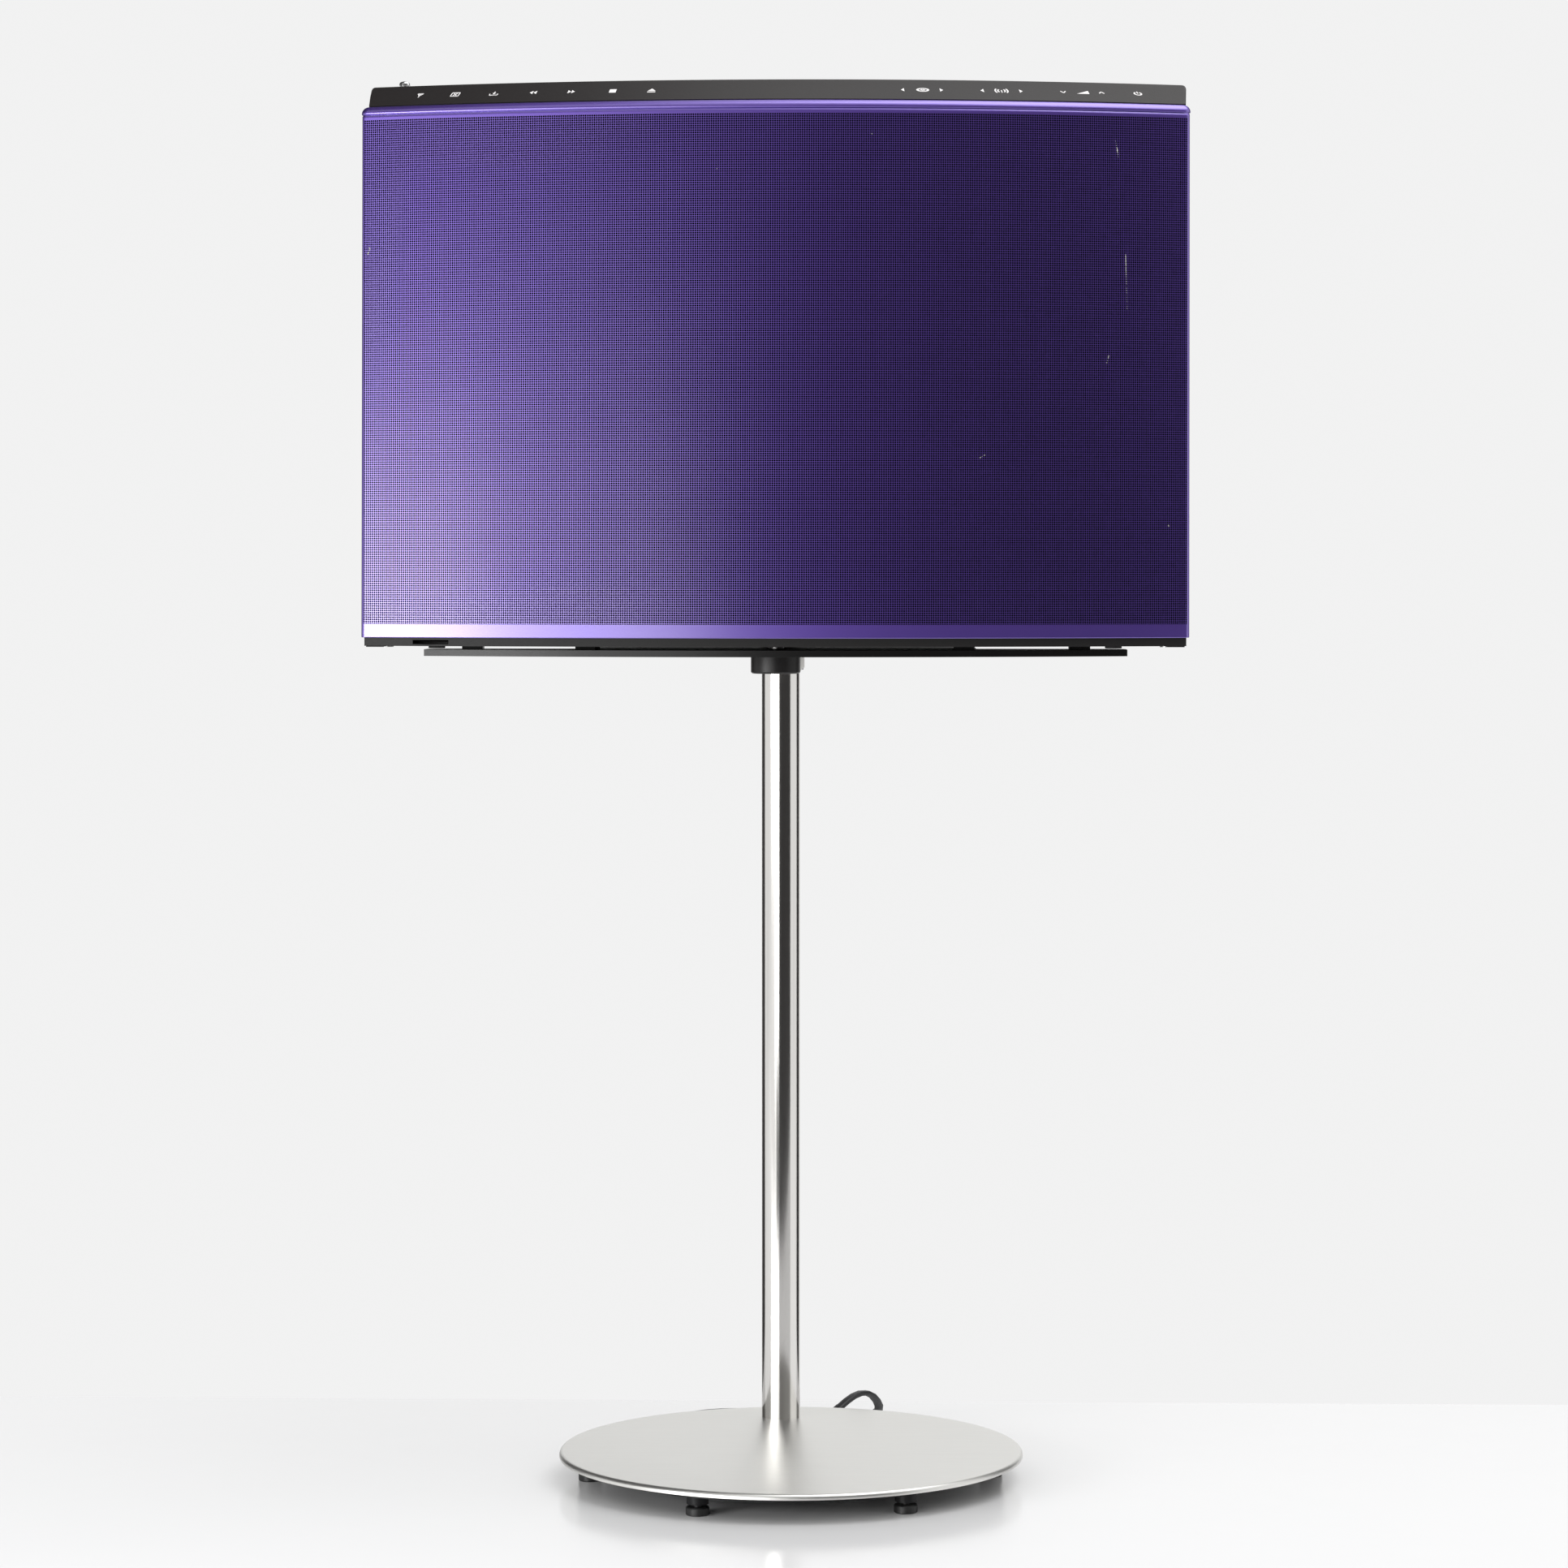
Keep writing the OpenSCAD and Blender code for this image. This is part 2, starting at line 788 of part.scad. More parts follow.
// A cylinder of length l and radius r along +X, raised by z
module cylinder_x(l, r, z = 0) {
    translate([0, 0, z])
        rotate([0, 90, 0])
            cylinder(h = l, r = r);
}

module cabinet_screws() {
    color("dimgray")
        screw_places()
            translate([0, 0, pan_z - 1])
                union() {
                    cylinder(h = 1, d = 7);
                    cylinder(h = 12, d = 3.4);
                }
}

module bottom_pan() {
    color("#141414")
        difference() {
            union() {
                difference() {
                    translate([0, 0, pan_z])
                        linear_extrude(pan_h)
                            union() {
                                translate([0, arc_y])
                                    front_plan(1.6, seam_y - arc_y + 1);
                                rear_plan(0.4, cabinet_w);
                            }
                    translate([0, 0, pan_z + pan_t])
                        linear_extrude(pan_h)
                            union() {
                                translate([0, arc_y])
                                    front_plan(4.4, seam_y - arc_y + 1, unit_w, grille_bend + 3);
                                rear_plan(3.4, cabinet_w - 2);
                            }
                }
                translate([0, pole_y, pan_z])
                    cylinder(h = 7.2, r = 4.8);
            }
            for (x = [-peg_x, peg_x])
                translate([x, -2, pan_z - 1])
                    cylinder(h = 10, d = peg_d + 0.2);
            screw_places()
                translate([0, 0, pan_z - 1])
                    cylinder(h = 10, d = 3.4);
            translate([0, pole_y, pan_z - 1])
                cylinder(h = 10, d = lead_w + 0.2);
            translate([-196, -far, pan_z + 1.1])
                cube([20, far - 20, 2.2]);
            for (x = [-150:12:150])
                if (abs(x) > 30)
                    translate([x - 1.5, 40, pan_z - 1])
                        cube([3, 22, 6]);
        }
}

module corner_blocks() {
    color("#101010")
        both_sides()
            translate([unit_w / 2 - 12, seam_y - 16, pan_z - 0.6])
                cube([9.6, 14, 0.6]);
}

module cabinet_feet() {
    color("#0d0d0d")
        for (x = [-184, 184])
            translate([x, -22, pan_z - 1.3])
                cylinder(h = 1.3, d = 9.2);
}

module front_grille() {
    color("#5b3fa0")
        union() {
            intersection() {
                leaned()
                    translate([0, arc_y, -20])
                        linear_extrude(grille_h + 60)
                            difference() {
                                front_plan(0, seam_y - arc_y);
                                front_plan(grille_t, seam_y - arc_y + 10);
                            }
                translate([-far / 2, -far / 2, grille_z])
                    cube([far, far, grille_h - lip_r + 0.5]);
            }
            // the roll of the top edge, built up in five layers
            for (k = [0:4])
                translate([0, top_arc_y, lip_z - lip_r + lip_r * sin(18 * k)])
                    linear_extrude(lip_r * (sin(18 * k + 18) - sin(18 * k)) + eps)
                        difference() {
                            front_plan(lip_r * (1 - cos(18 * k + 9)) - 0.5, seam_y - arc_y - 0.5, unit_w, lip_bend);
                            front_plan(lip_r - 0.1, seam_y - arc_y + 10, unit_w, lip_bend);
                        }
        }
}

module grille_cloth() {
    color("#0a0a0c")
        leaned()
            translate([0, arc_y, 3])
                rotate([0, 0, 270 - 17.4])
                    rotate_extrude(angle = 34.8)
                        translate([front_r - grille_t - 0.8, 0])
                            square([0.5, grille_h - 10]);
}

module front_baffle() {
    a = bend_angle(unit_w, front_r, grille_bend + 12) - 0.4;
    color("#18181a")
        difference() {
            union() {
                leaned()
                    translate([0, arc_y, 2]) {
                        rotate([0, 0, 270 - a])
                            rotate_extrude(angle = 2 * a)
                                translate([front_r - baffle_inset - baffle_t, 0])
                                    square([baffle_t, grille_h - 8]);
                    }
                leaned()
                    difference() {
                        translate([-unit_w / 2 + 2, seam_y - 3, 2])
                            cube([unit_w - 4, 3, grille_h - 8]);
                        translate([-unit_w / 2 + 22, seam_y - 4, 10])
                            cube([unit_w - 44, 5, grille_h - 24]);
                    }
                leaned()
                    both_sides()
                        translate([unit_w / 2 - 24, seam_y - 11, 2])
                            cube([3, 10, grille_h - 8]);
                for (s = [-1, 1])
                    on_arc(s * speaker_angle, woofer_z, woofer_axis_r)
                        translate([0, 0, -baffle_t - 3])
                            cylinder(h = baffle_t + 3, d = woofer_d + 4);
            }
            for (s = [-1, 1]) {
                on_arc(s * speaker_angle, woofer_z, woofer_axis_r)
                    translate([0, 0, -30])
                        cylinder(h = 60, d = woofer_d - 12);
                on_arc(s * speaker_angle, woofer_z, woofer_axis_r)
                    translate([0, 0, -3])
                        cylinder(h = 60, d = woofer_d);
                on_arc(s * speaker_angle, tweeter_z, woofer_axis_r)
                    translate([0, 0, -30])
                        cylinder(h = 60, d = tweeter_d);
            }
        }
}

module woofer_frame(s) {
    color("#2b2b2d")
        on_arc(s * speaker_angle, woofer_z, woofer_axis_r)
            rotate_extrude()
                polygon([[woofer_d / 2 - 0.2, -0.6], [woofer_d / 2 - 0.2, -3], [woofer_d / 2 - 8, -3],
                    [woofer_d / 2 - 8, -10], [magnet_d / 2 - 2, -woofer_depth], [20, -woofer_depth],
                    [20, -woofer_depth + 2], [magnet_d / 2 - 3, -woofer_depth + 2],
                    [woofer_d / 2 - 10, -9], [woofer_d / 2 - 10, -0.6]]);
}

module woofer_cone(s) {
    color("#111113")
        on_arc(s * speaker_angle, woofer_z, woofer_axis_r)
            union() {
                rotate_extrude()
                    polygon([[woofer_d / 2 - 10.2, -1.2], [woofer_d / 2 - 10.2, -2.4],
                        [woofer_d / 2 - 17, -3.2], [13, -24], [13, -woofer_depth + 1], [12, -woofer_depth + 1],
                        [12, -22], [0, -19], [0, -18], [12, -21], [woofer_d / 2 - 18, -2]]);
                rotate_extrude()
                    translate([woofer_d / 2 - 14, -2.4])
                        circle(3);
            }
}

module woofer_magnet(s) {
    color("#3a3a3c")
        on_arc(s * speaker_angle, woofer_z, woofer_axis_r)
            translate([0, 0, -woofer_depth - 24])
                difference() {
                    union() {
                        cylinder(h = 4, d = magnet_d - 8);
                        translate([0, 0, 4])
                            cylinder(h = 15, d = magnet_d);
                        translate([0, 0, 19])
                            cylinder(h = 5, d = magnet_d - 8);
                    }
                    translate([0, 0, 4])
                        cylinder(h = 24, r = 14);
                }
}

module tweeter(s) {
    color("#202022")
        on_arc(s * speaker_angle, tweeter_z, woofer_axis_r)
            union() {
                translate([0, 0, -22])
                    cylinder(h = 14, d = tweeter_d - 12);
                translate([0, 0, -8])
                    cylinder(h = 6.4, d = tweeter_d - 0.4);
                translate([0, 0, -2])
                    intersection() {
                        translate([0, 0, -12])
                            sphere(r = 16);
                        cylinder(h = 10, r = 12);
                    }
            }
}

module bass_ports() {
    color("#19191b")
        intersection() {
            speaker_ports()
                translate([0, 0, 6])
                    difference() {
                        cylinder(h = 80, d = 40);
                        translate([0, 0, -1])
                            cylinder(h = 90, d = 34);
                    }
            rear_form(0);
        }
}

module control_panel() {
    in_y = panel_run + 4.5;
    end = [[4.7, -20], [4.7, 0.1], [panel_inset, 0.1], [panel_inset, panel_rise - 3],
        [panel_inset + 0.9, panel_rise - 0.7], [panel_inset + 3.2, panel_rise + 1]];
    color("#4a4546")
        intersection() {
            translate([0, top_arc_y, lip_z])
                rotate([0, 0, 270 - 20])
                    rotate_extrude(angle = 40)
                        translate([front_r, 0])
                            polygon([[-2.5, 0.2], [-2.5 - panel_run, 0.2 + panel_rise], [-in_y, 0.2 + panel_rise],
                                [-in_y, panel_rise - panel_t], [-5, -panel_t], [-4.4, -panel_t], [-4.4, 0.2]]);
            translate([0, far / 2, 0])
                rotate([90, 0, 0])
                    linear_extrude(far)
                        polygon([for (s = [-1, 1]) for (k = [0:5])
                            let (q = end[s < 0 ? k : 5 - k])
                            [s * (unit_w / 2 - q[0]), lip_z + q[1]]]);
        }
}

module touch_board() {
    color("#1d5a3a")
        translate([0, top_arc_y, lip_z])
            rotate([0, 0, 270 - 16])
                rotate_extrude(angle = 32)
                    translate([front_r - 5.4, -panel_t - 0.4])
                        polygon([[0, 0], [-panel_run + 5, panel_rise * (panel_run - 5) / (panel_run - 0.5)],
                            [-panel_run + 5, panel_rise * (panel_run - 5) / (panel_run - 0.5) - 1.2], [0, -1.2]]);
}

module socket_panel() {
    color("#202023")
        translate([0, rear_y - 8, pan_z + 18.4])
            rotate([-90, 0, 0]) {
                difference() {
                    translate([-56, -10.4, -2])
                        cube([112, 20.8, 2]);
                    for (x = [-44, -28, -12, 6, 26])
                        translate([x, 0, -3])
                            cylinder(h = 4, d = 8.4);
                }
                for (x = [-44, -28, -12, 6, 26])
                    translate([x, 0, -12])
                        difference() {
                            cylinder(h = 14, d = 8.4);
                            translate([0, 0, 2])
                                cylinder(h = 14, d = 3.5);
                        }
                translate([40, -5, -10])
                    cube([13, 10, 8.5]);
            }
}

module aerial_tube() {
    color("gainsboro")
        translate([-aerial_x, aerial_y, panel_top_z - aerial_len - 8])
            difference() {
                cylinder(h = aerial_len + 8, d = aerial_d);
                translate([0, 0, 1.5])
                    cylinder(h = far, d = aerial_d - 2 * aerial_wall);
            }
    color("#202023")
        translate([-aerial_x - 9, aerial_y - 5, grille_z])
            cube([18, 10, panel_top_z - aerial_len - 8 - grille_z]);
}

module aerial_lower() {
    d = aerial_d - 2 * aerial_wall - 2 * run_gap;
    color("gainsboro")
        translate([-aerial_x, aerial_y, panel_top_z - aerial_len - 6])
            difference() {
                cylinder(h = aerial_len + 7, d = d);
                translate([0, 0, 1.5])
                    cylinder(h = far, d = d - 2 * aerial_wall);
            }
}

module aerial_tip() {
    d = aerial_d - 4 * aerial_wall - 4 * run_gap;
    color("gainsboro")
        translate([-aerial_x, aerial_y, panel_top_z - aerial_len - 4]) {
            cylinder(h = aerial_len + 5.2, d = d);
            translate([0, 0, aerial_len + 5.2])
                cylinder(h = 1.6, d = 6);
            translate([0, 0, aerial_len + 6.8])
                cylinder(h = 1, d1 = 6, d2 = 4);
        }
}

// Disc drive, drawn on the face of the back with +Y up the slope

module drive_chassis() {
    w = lid_w / 2 + 0.8;
    top = lid_top + 1;
    low = hinge_drop + barrel_r + 1.6;
    color("#28282b")
        on_back()
            difference() {
                union() {
                    translate([-w - 8, -46, -shell_t - 2.5])
                        cube([2 * w + 16, top + 8 + 46, 2.5]);
                    translate([-w - 2.5, -low - 2.5, floor_z - 2])
                        cube([2 * w + 5, top + low + 5, well_depth + 2 - shell_t]);
                    translate([sled_x + sled_l + sled_travel + 1.5, -rod_y - 2.4, rod_z - 3])
                        cube([2.5, 2 * rod_y + 4.8, -rod_z + 3 + floor_z]);
                    translate([sled_x - 3, -rod_y - 2.4, rod_z - 3])
                        cube([2.2, 2 * rod_y + 4.8, -rod_z + 3 + floor_z]);
                    translate([sled_pinion_x - 9, rack_y - 17, rod_z - 6])
                        cube([18, 19, 2]);
                    translate([sled_pinion_x - 9, rack_y - 17, rod_z - 6])
                        cube([18, 2, floor_z - rod_z + 5]);
                    translate([sector_x - 4, -hinge_drop - 7, barrel_z - sector_r - pinion_r - 7])
                        cube([2.5, 14, sector_r + pinion_r + 7 - well_depth + barrel_r]);
                }
                translate([-w, -low, floor_z])
                    cube([2 * w, top + low, far]);
                translate([0, 0, floor_z - 3])
                    cylinder(h = 6, d = 6);
                translate([sled_pinion_x, rack_y - pinion_r, rod_z - 7])
                    cylinder(h = 4, d = 5);
                translate([sled_x + 3, -6, floor_z - 3])
                    cube([sled_travel + 12, 12, 6]);
                translate([sector_x - 1, -hinge_drop - sector_r - 3, -far - shell_t])
                    cube([sector_t + 2, 2 * sector_r + 6, far]);
                for (x = [-w - 4, w - 2])
                    translate([x, -hinge_drop, barrel_z])
                        cylinder_x(6, pin_d / 2);
                translate([sector_x - 5, -hinge_drop, barrel_z - sector_r - pinion_r])
                    cylinder_x(6, 1.5);
                for (y = [-rod_y, rod_y])
                    translate([sled_x - 4, y, rod_z])
                        cylinder_x(sled_l + sled_travel + 12, rod_d / 2);
            }
}

module guide_rods() {
    color("silver")
        on_back() {
            for (y = [-rod_y, rod_y])
                translate([sled_x - 2.8, y, rod_z])
                    cylinder_x(sled_l + sled_travel + 6.6, rod_d / 2);
            for (x = [-lid_w / 2 - 3.2, lid_w / 2 - 6.8])
                translate([x, -hinge_drop, barrel_z])
                    cylinder_x(10, pin_d / 2);
        }
}

module drive_motors() {
    color("silver")
        on_back() {
            translate([0, 0, floor_z - 16])
                difference() {
                    cylinder(h = 14, d = 24);
                    translate([0, 0, 4])
                        cylinder(h = 14, r = 1 + run_gap);
                }
            translate([sector_x - 26, -hinge_drop, barrel_z - sector_r - pinion_r])
                difference() {
                    cylinder_x(22, 7);
                    translate([6, 0, 0])
                        cylinder_x(20, 1 + run_gap);
                }
            translate([sled_pinion_x, rack_y - pinion_r, rod_z - 20])
                difference() {
                    cylinder(h = 14, d = 16);
                    translate([0, 0, 4])
                        cylinder(h = 14, r = 1 + run_gap);
                }
        }
}

module cd_lid() {
    color("#2a2a2d")
        on_back()
            difference() {
                union() {
                    translate([-lid_w / 2, -hinge_drop, -lid_t])
                        cube([lid_w, hinge_drop + lid_top, lid_t]);
                    translate([-lid_w / 2, -hinge_drop, barrel_z])
                        cylinder_x(lid_w, barrel_r);
                    translate([sector_x, -hinge_drop, barrel_z])
                        rotate([0, 90, 0])
                            linear_extrude(sector_t)
                                intersection() {
                                    gear_plan(sector_n);
                                    polygon([for (a = [-14, 10, 40, lid_open + 5, lid_open + 19]) [far * cos(a), -far * sin(a)], [-1, 1]]);
                                }
                    translate([0, 0, -6.4])
                        cylinder(h = 6.4 - lid_t + eps, d = 18);
                }
                translate([0, 0, -7])
                    cylinder(h = 3, r = 5 + run_gap);
                translate([0, 0, -4.4])
                    cylinder(h = 4.4 - lid_t, d = 12.6);
                for (x = [-lid_w / 2 - 1, lid_w / 2 - 8])
                    translate([x, -hinge_drop, barrel_z])
                        cylinder_x(9, pin_d / 2 + run_gap);
            }
}

module disc_clamp() {
    color("#c8c8cc")
        on_back()
            difference() {
                union() {
                    translate([0, 0, -8.7])
                        cylinder(h = 1.9, d = 28);
                    translate([0, 0, -7])
                        cylinder(h = 3, r = 5);
                    translate([0, 0, -4.2])
                        cylinder(h = 1.4, d = 12);
                }
                translate([0, 0, -9])
                    cylinder(h = 1.6, d = 16.4);
            }
}

module lid_pinion() {
    color("ivory")
        on_back()
            translate([0, -hinge_drop, barrel_z - sector_r - pinion_r]) {
                translate([sector_x - 0.4, 0, 0])
                    rotate([0, 90, 0])
                        linear_extrude(sector_t + 0.8)
                            rotate([0, 0, 180 + 180 / pinion_n])
                                gear_plan(pinion_n);
                translate([sector_x - 18, 0, 0])
                    cylinder_x(18, 1);
            }
}

module turntable() {
    color("#1b1b1d")
        on_back() {
            translate([0, 0, floor_z + 1.6])
                cylinder(h = 2.4, d = turntable_d);
            translate([0, 0, floor_z + 4])
                cylinder(h = 1.6, d = 14.8);
            translate([0, 0, floor_z + 5.6])
                cylinder(h = 0.8, d1 = 14.8, d2 = 12);
            translate([0, 0, floor_z - 11.5])
                cylinder(h = 13.5, r = 1);
        }
}

module laser_sled() {
    pitch = PI * gear_m;
    color("#3c3c40")
        on_back()
            difference() {
                union() {
                    translate([sled_x, -rod_y - 2.8, rod_z - 3])
                        cube([sled_l, 2 * rod_y + 5.6, 6]);
                    translate([sled_x + 9, 0, rod_z])
                        cylinder(h = floor_z + 1.4 - rod_z, d = 9);
                    translate([sled_pinion_x, rack_y, rod_z - 3])
                        linear_extrude(3)
                            rack_plan(pitch);
                }
                for (y = [-rod_y, rod_y])
                    translate([sled_x - 1, y, rod_z])
                        cylinder_x(sled_l + 2, rod_d / 2 + run_gap);
            }
}

// Rack with a tooth centred on x = 0, its pitch line on the X axis and its teeth towards -Y
module rack_plan(pitch) {
    k0 = -16;
    k1 = 1;
    t = pitch / 4 - 0.08;
    s = tan(20) * gear_m * 0.85;
    f = tan(20) * gear_m * 1.2;
    polygon(concat(
        [[(k0 - 0.5) * pitch, 2.2], [(k0 - 0.5) * pitch, 1.2 * gear_m]],
        [for (k = [k0:k1]) each [[k * pitch - t - f, 1.2 * gear_m], [k * pitch - t + s, -0.85 * gear_m],
            [k * pitch + t - s, -0.85 * gear_m], [k * pitch + t + f, 1.2 * gear_m]]],
        [[(k1 + 0.5) * pitch, 1.2 * gear_m], [(k1 + 0.5) * pitch, 2.2]]));
}

module sled_gear() {
    color("ivory")
        on_back()
            translate([sled_pinion_x, rack_y - pinion_r, rod_z - 3.2]) {
                linear_extrude(3.4)
                    rotate([0, 0, 90 + 180 / pinion_n])
                        gear_plan(pinion_n);
                translate([0, 0, -9])
                    cylinder(h = 10, r = 1);
            }
}

module carry_handle() {
    color("#b9b9bd")
        on_back()
            union() {
                both_sides() {
                    translate([handle_w / 2, handle_up, 7])
                        cylinder_x(5, 5.5);
                    translate([handle_w / 2, handle_up - handle_len, 1.5])
                        cube([5, handle_len, 11]);
                    translate([handle_w / 2, handle_up, 7])
                        cylinder_x(11, 2.4);
                }
                translate([-handle_w / 2 - 5, handle_up - handle_len, 7])
                    cylinder_x(handle_w + 10, grip_d / 2);
            }
}

// Electronics on the floor of the cabinet

module main_board() {
    color("#1f6b45")
        union() {
            translate([-10, 0, pan_z + 8])
                cube([150, 70, 1.6]);
            for (x = [-4, 134])
                for (y = [6, 64])
                    translate([x, y, pan_z + pan_t])
                        cylinder(h = 6, d = 6);
        }
    color("#222222") {
        for (x = [20, 44])
            translate([x, 18, pan_z + 9.6])
                cylinder(h = 26, d = 18);
        translate([70, 20, pan_z + 9.6])
            cube([22, 22, 2.4]);
        translate([20, 46, pan_z + 9.6])
            cube([14, 10, 2.4]);
    }
}

module power_transformer() {
    color("#8c6b3a")
        translate([-70, 6, pan_z + pan_t]) {
            translate([0, 6, 0])
                cube([50, 34, 44]);
            translate([8, 0, 6])
                cube([34, 46, 30]);
            translate([-8, 14, 0])
                cube([66, 18, 2]);
        }
}

module heat_sink() {
    color("silver")
        translate([104, 34, pan_z + 9.6]) {
            cube([30, 3, 34]);
            for (x = [0:4:28])
                translate([x, 3, 0])
                    cube([1.6, 18, 34]);
        }
}

base_disc();
ballast_plate();
pole();
pole_nut();
pole_bush();
pole_cap();
lead_in_pole();
cable_outlet();
mains_lead();
lead_coil();
cable_tie();
mains_plug();
levelling_foot(1);  // levelling_foot_1
levelling_foot(2);  // levelling_foot_2
levelling_foot(3);  // levelling_foot_3
levelling_foot(4);  // levelling_foot_4
levelling_foot(5);  // levelling_foot_5
levelling_foot(6);  // levelling_foot_6
swivel_arm();
arm_nose_cap();
carrier_plate();
plate_screws();
plate_pads();
locating_pegs();
bottom_pan();
corner_blocks();
cabinet_feet();
front_grille();
grille_cloth();
front_baffle();
woofer_frame(-1);  // left_woofer_frame
woofer_frame(1);  // right_woofer_frame
woofer_cone(-1);  // left_woofer_cone
woofer_cone(1);  // right_woofer_cone
woofer_magnet(-1);  // left_woofer_magnet
woofer_magnet(1);  // right_woofer_magnet
tweeter(-1);  // left_tweeter
tweeter(1);  // right_tweeter
bass_ports();
control_panel();
touch_board();
rear_cabinet();
cabinet_screws();
drive_chassis();
guide_rods();
drive_motors();
main_board();
power_transformer();
heat_sink();
socket_panel();
aerial_tube();
cd_lid();
disc_clamp();
lid_pinion();
turntable();
laser_sled();
sled_gear();
carry_handle();
aerial_lower();
aerial_tip();
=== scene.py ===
"""The compact music system on its stand: a bowed, perforated purple front on a swivelling
plate, a slim steel pole and a round brushed base, with the mains lead behind it."""
import math

import bmesh
import bpy
import numpy as np
from mathutils import Matrix, Vector


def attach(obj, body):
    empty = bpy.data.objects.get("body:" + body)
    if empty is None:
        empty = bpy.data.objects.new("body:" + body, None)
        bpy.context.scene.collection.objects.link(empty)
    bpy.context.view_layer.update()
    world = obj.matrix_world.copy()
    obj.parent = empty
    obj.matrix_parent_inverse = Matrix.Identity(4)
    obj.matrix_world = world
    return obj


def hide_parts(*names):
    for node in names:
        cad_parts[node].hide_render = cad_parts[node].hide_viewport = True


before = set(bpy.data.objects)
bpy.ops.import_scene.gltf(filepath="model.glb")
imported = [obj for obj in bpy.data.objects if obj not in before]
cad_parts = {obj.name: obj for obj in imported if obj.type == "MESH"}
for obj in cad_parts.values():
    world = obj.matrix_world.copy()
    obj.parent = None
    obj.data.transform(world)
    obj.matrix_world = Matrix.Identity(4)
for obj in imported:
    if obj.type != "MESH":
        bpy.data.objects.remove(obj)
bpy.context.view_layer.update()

# Camera: fitted to the pole, the plate's ends, the base's ellipse and the panel's edge in the
# photograph. It looks slightly down and slightly to the left of straight ahead.
turn, dip = math.radians(1.66), math.radians(2.67)
ahead = np.array([-math.sin(turn) * math.cos(dip), math.cos(turn) * math.cos(dip), -math.sin(dip)])
across = np.array([math.cos(turn), math.sin(turn), 0.0])
upward = np.cross(across, ahead)
camera = bpy.data.objects.new("camera", bpy.data.cameras.new("camera"))
camera.data.sensor_width = 36.0
camera.data.sensor_fit = "HORIZONTAL"
camera.data.lens = 105.61
camera.location = (0.0777, -2.5229, 0.5019)
bpy.context.scene.collection.objects.link(camera)
camera.rotation_euler = Matrix(np.stack([across, upward, -ahead], 1).tolist()).to_euler()
bpy.context.scene.camera = camera
bpy.context.scene.view_settings.view_transform = "Standard"


# Mains lead: a flat two-core black lead that leaves the outlet under the disc, rises in a low
# arch behind the base and runs on into a flat coil. One tube along its whole length, with a
# tapered sleeve moulded on at the outlet.
class Sock:
    """A shader socket. The operators add Math nodes, and node() adds any other node."""

    def __init__(self, tree, out):
        self.tree, self.out = tree, out

    def node(self, kind, settings=None, values=None, out=0):
        made = self.tree.nodes.new("ShaderNode" + kind)
        for key, value in (settings or {}).items():
            setattr(made, key, value)
        for key, value in (values or {}).items():
            if isinstance(value, Sock):
                self.tree.links.new(value.out, made.inputs[key])
            else:
                made.inputs[key].default_value = value
        return Sock(self.tree, made.outputs[out])

    def sum(self, kind, *args):
        return self.node("Math", {"operation": kind}, dict(enumerate(args)))

    def __add__(self, other):
        return self.sum("ADD", self, other)

    def __sub__(self, other):
        return self.sum("SUBTRACT", self, other)

    def __rsub__(self, other):
        return self.sum("SUBTRACT", other, self)

    def __mul__(self, other):
        return self.sum("MULTIPLY", self, other)

    def __truediv__(self, other):
        return self.sum("DIVIDE", self, other)

    def __gt__(self, other):
        return self.sum("GREATER_THAN", self, other)

    def __lt__(self, other):
        return self.sum("LESS_THAN", self, other)

    __radd__ = __add__
    __rmul__ = __mul__


def paint(name, look):
    """A material whose shader inputs are what look() returns for its object coordinates."""
    made = bpy.data.materials.new(name)
    made.use_nodes = True
    tree = made.node_tree
    shader = tree.nodes["Principled BSDF"]
    where = Sock(tree, tree.nodes.new("ShaderNodeTexCoord").outputs["Object"])
    for key, value in look(where).items():
        if isinstance(value, Sock):
            tree.links.new(value.out, shader.inputs[key])
        else:
            shader.inputs[key].default_value = value
    return made


def grained(colour, rough, metal=0.0, size=0.002, vary=0.12, depth=0.00003, stretch=(1, 1, 1), **more):
    """A look with a cloudy colour, an uneven roughness and a fine bump of grain size metres."""

    def look(where):
        at = where.node("Mapping", {}, {"Vector": where, "Scale": stretch})
        cloud = where.node("TexNoise", {}, {"Vector": at, "Scale": 0.35 / size, "Detail": 4.0})
        grain = where.node("TexNoise", {}, {"Vector": at, "Scale": 1.0 / size, "Detail": 3.0})
        low = [c * (1 - vary) for c in colour] + [1.0]
        high = [min(1.0, c * (1 + vary)) for c in colour] + [1.0]
        return {
            "Base Color": where.node("Mix", {"data_type": "RGBA"}, {0: cloud, 6: low, 7: high}, 2),
            "Roughness": rough + (grain - 0.5) * 0.35 * rough,
            "Metallic": metal,
            "Normal": where.node("Bump", {}, {"Height": grain, "Strength": 0.6, "Distance": depth}),
            **more,
        }

    return look


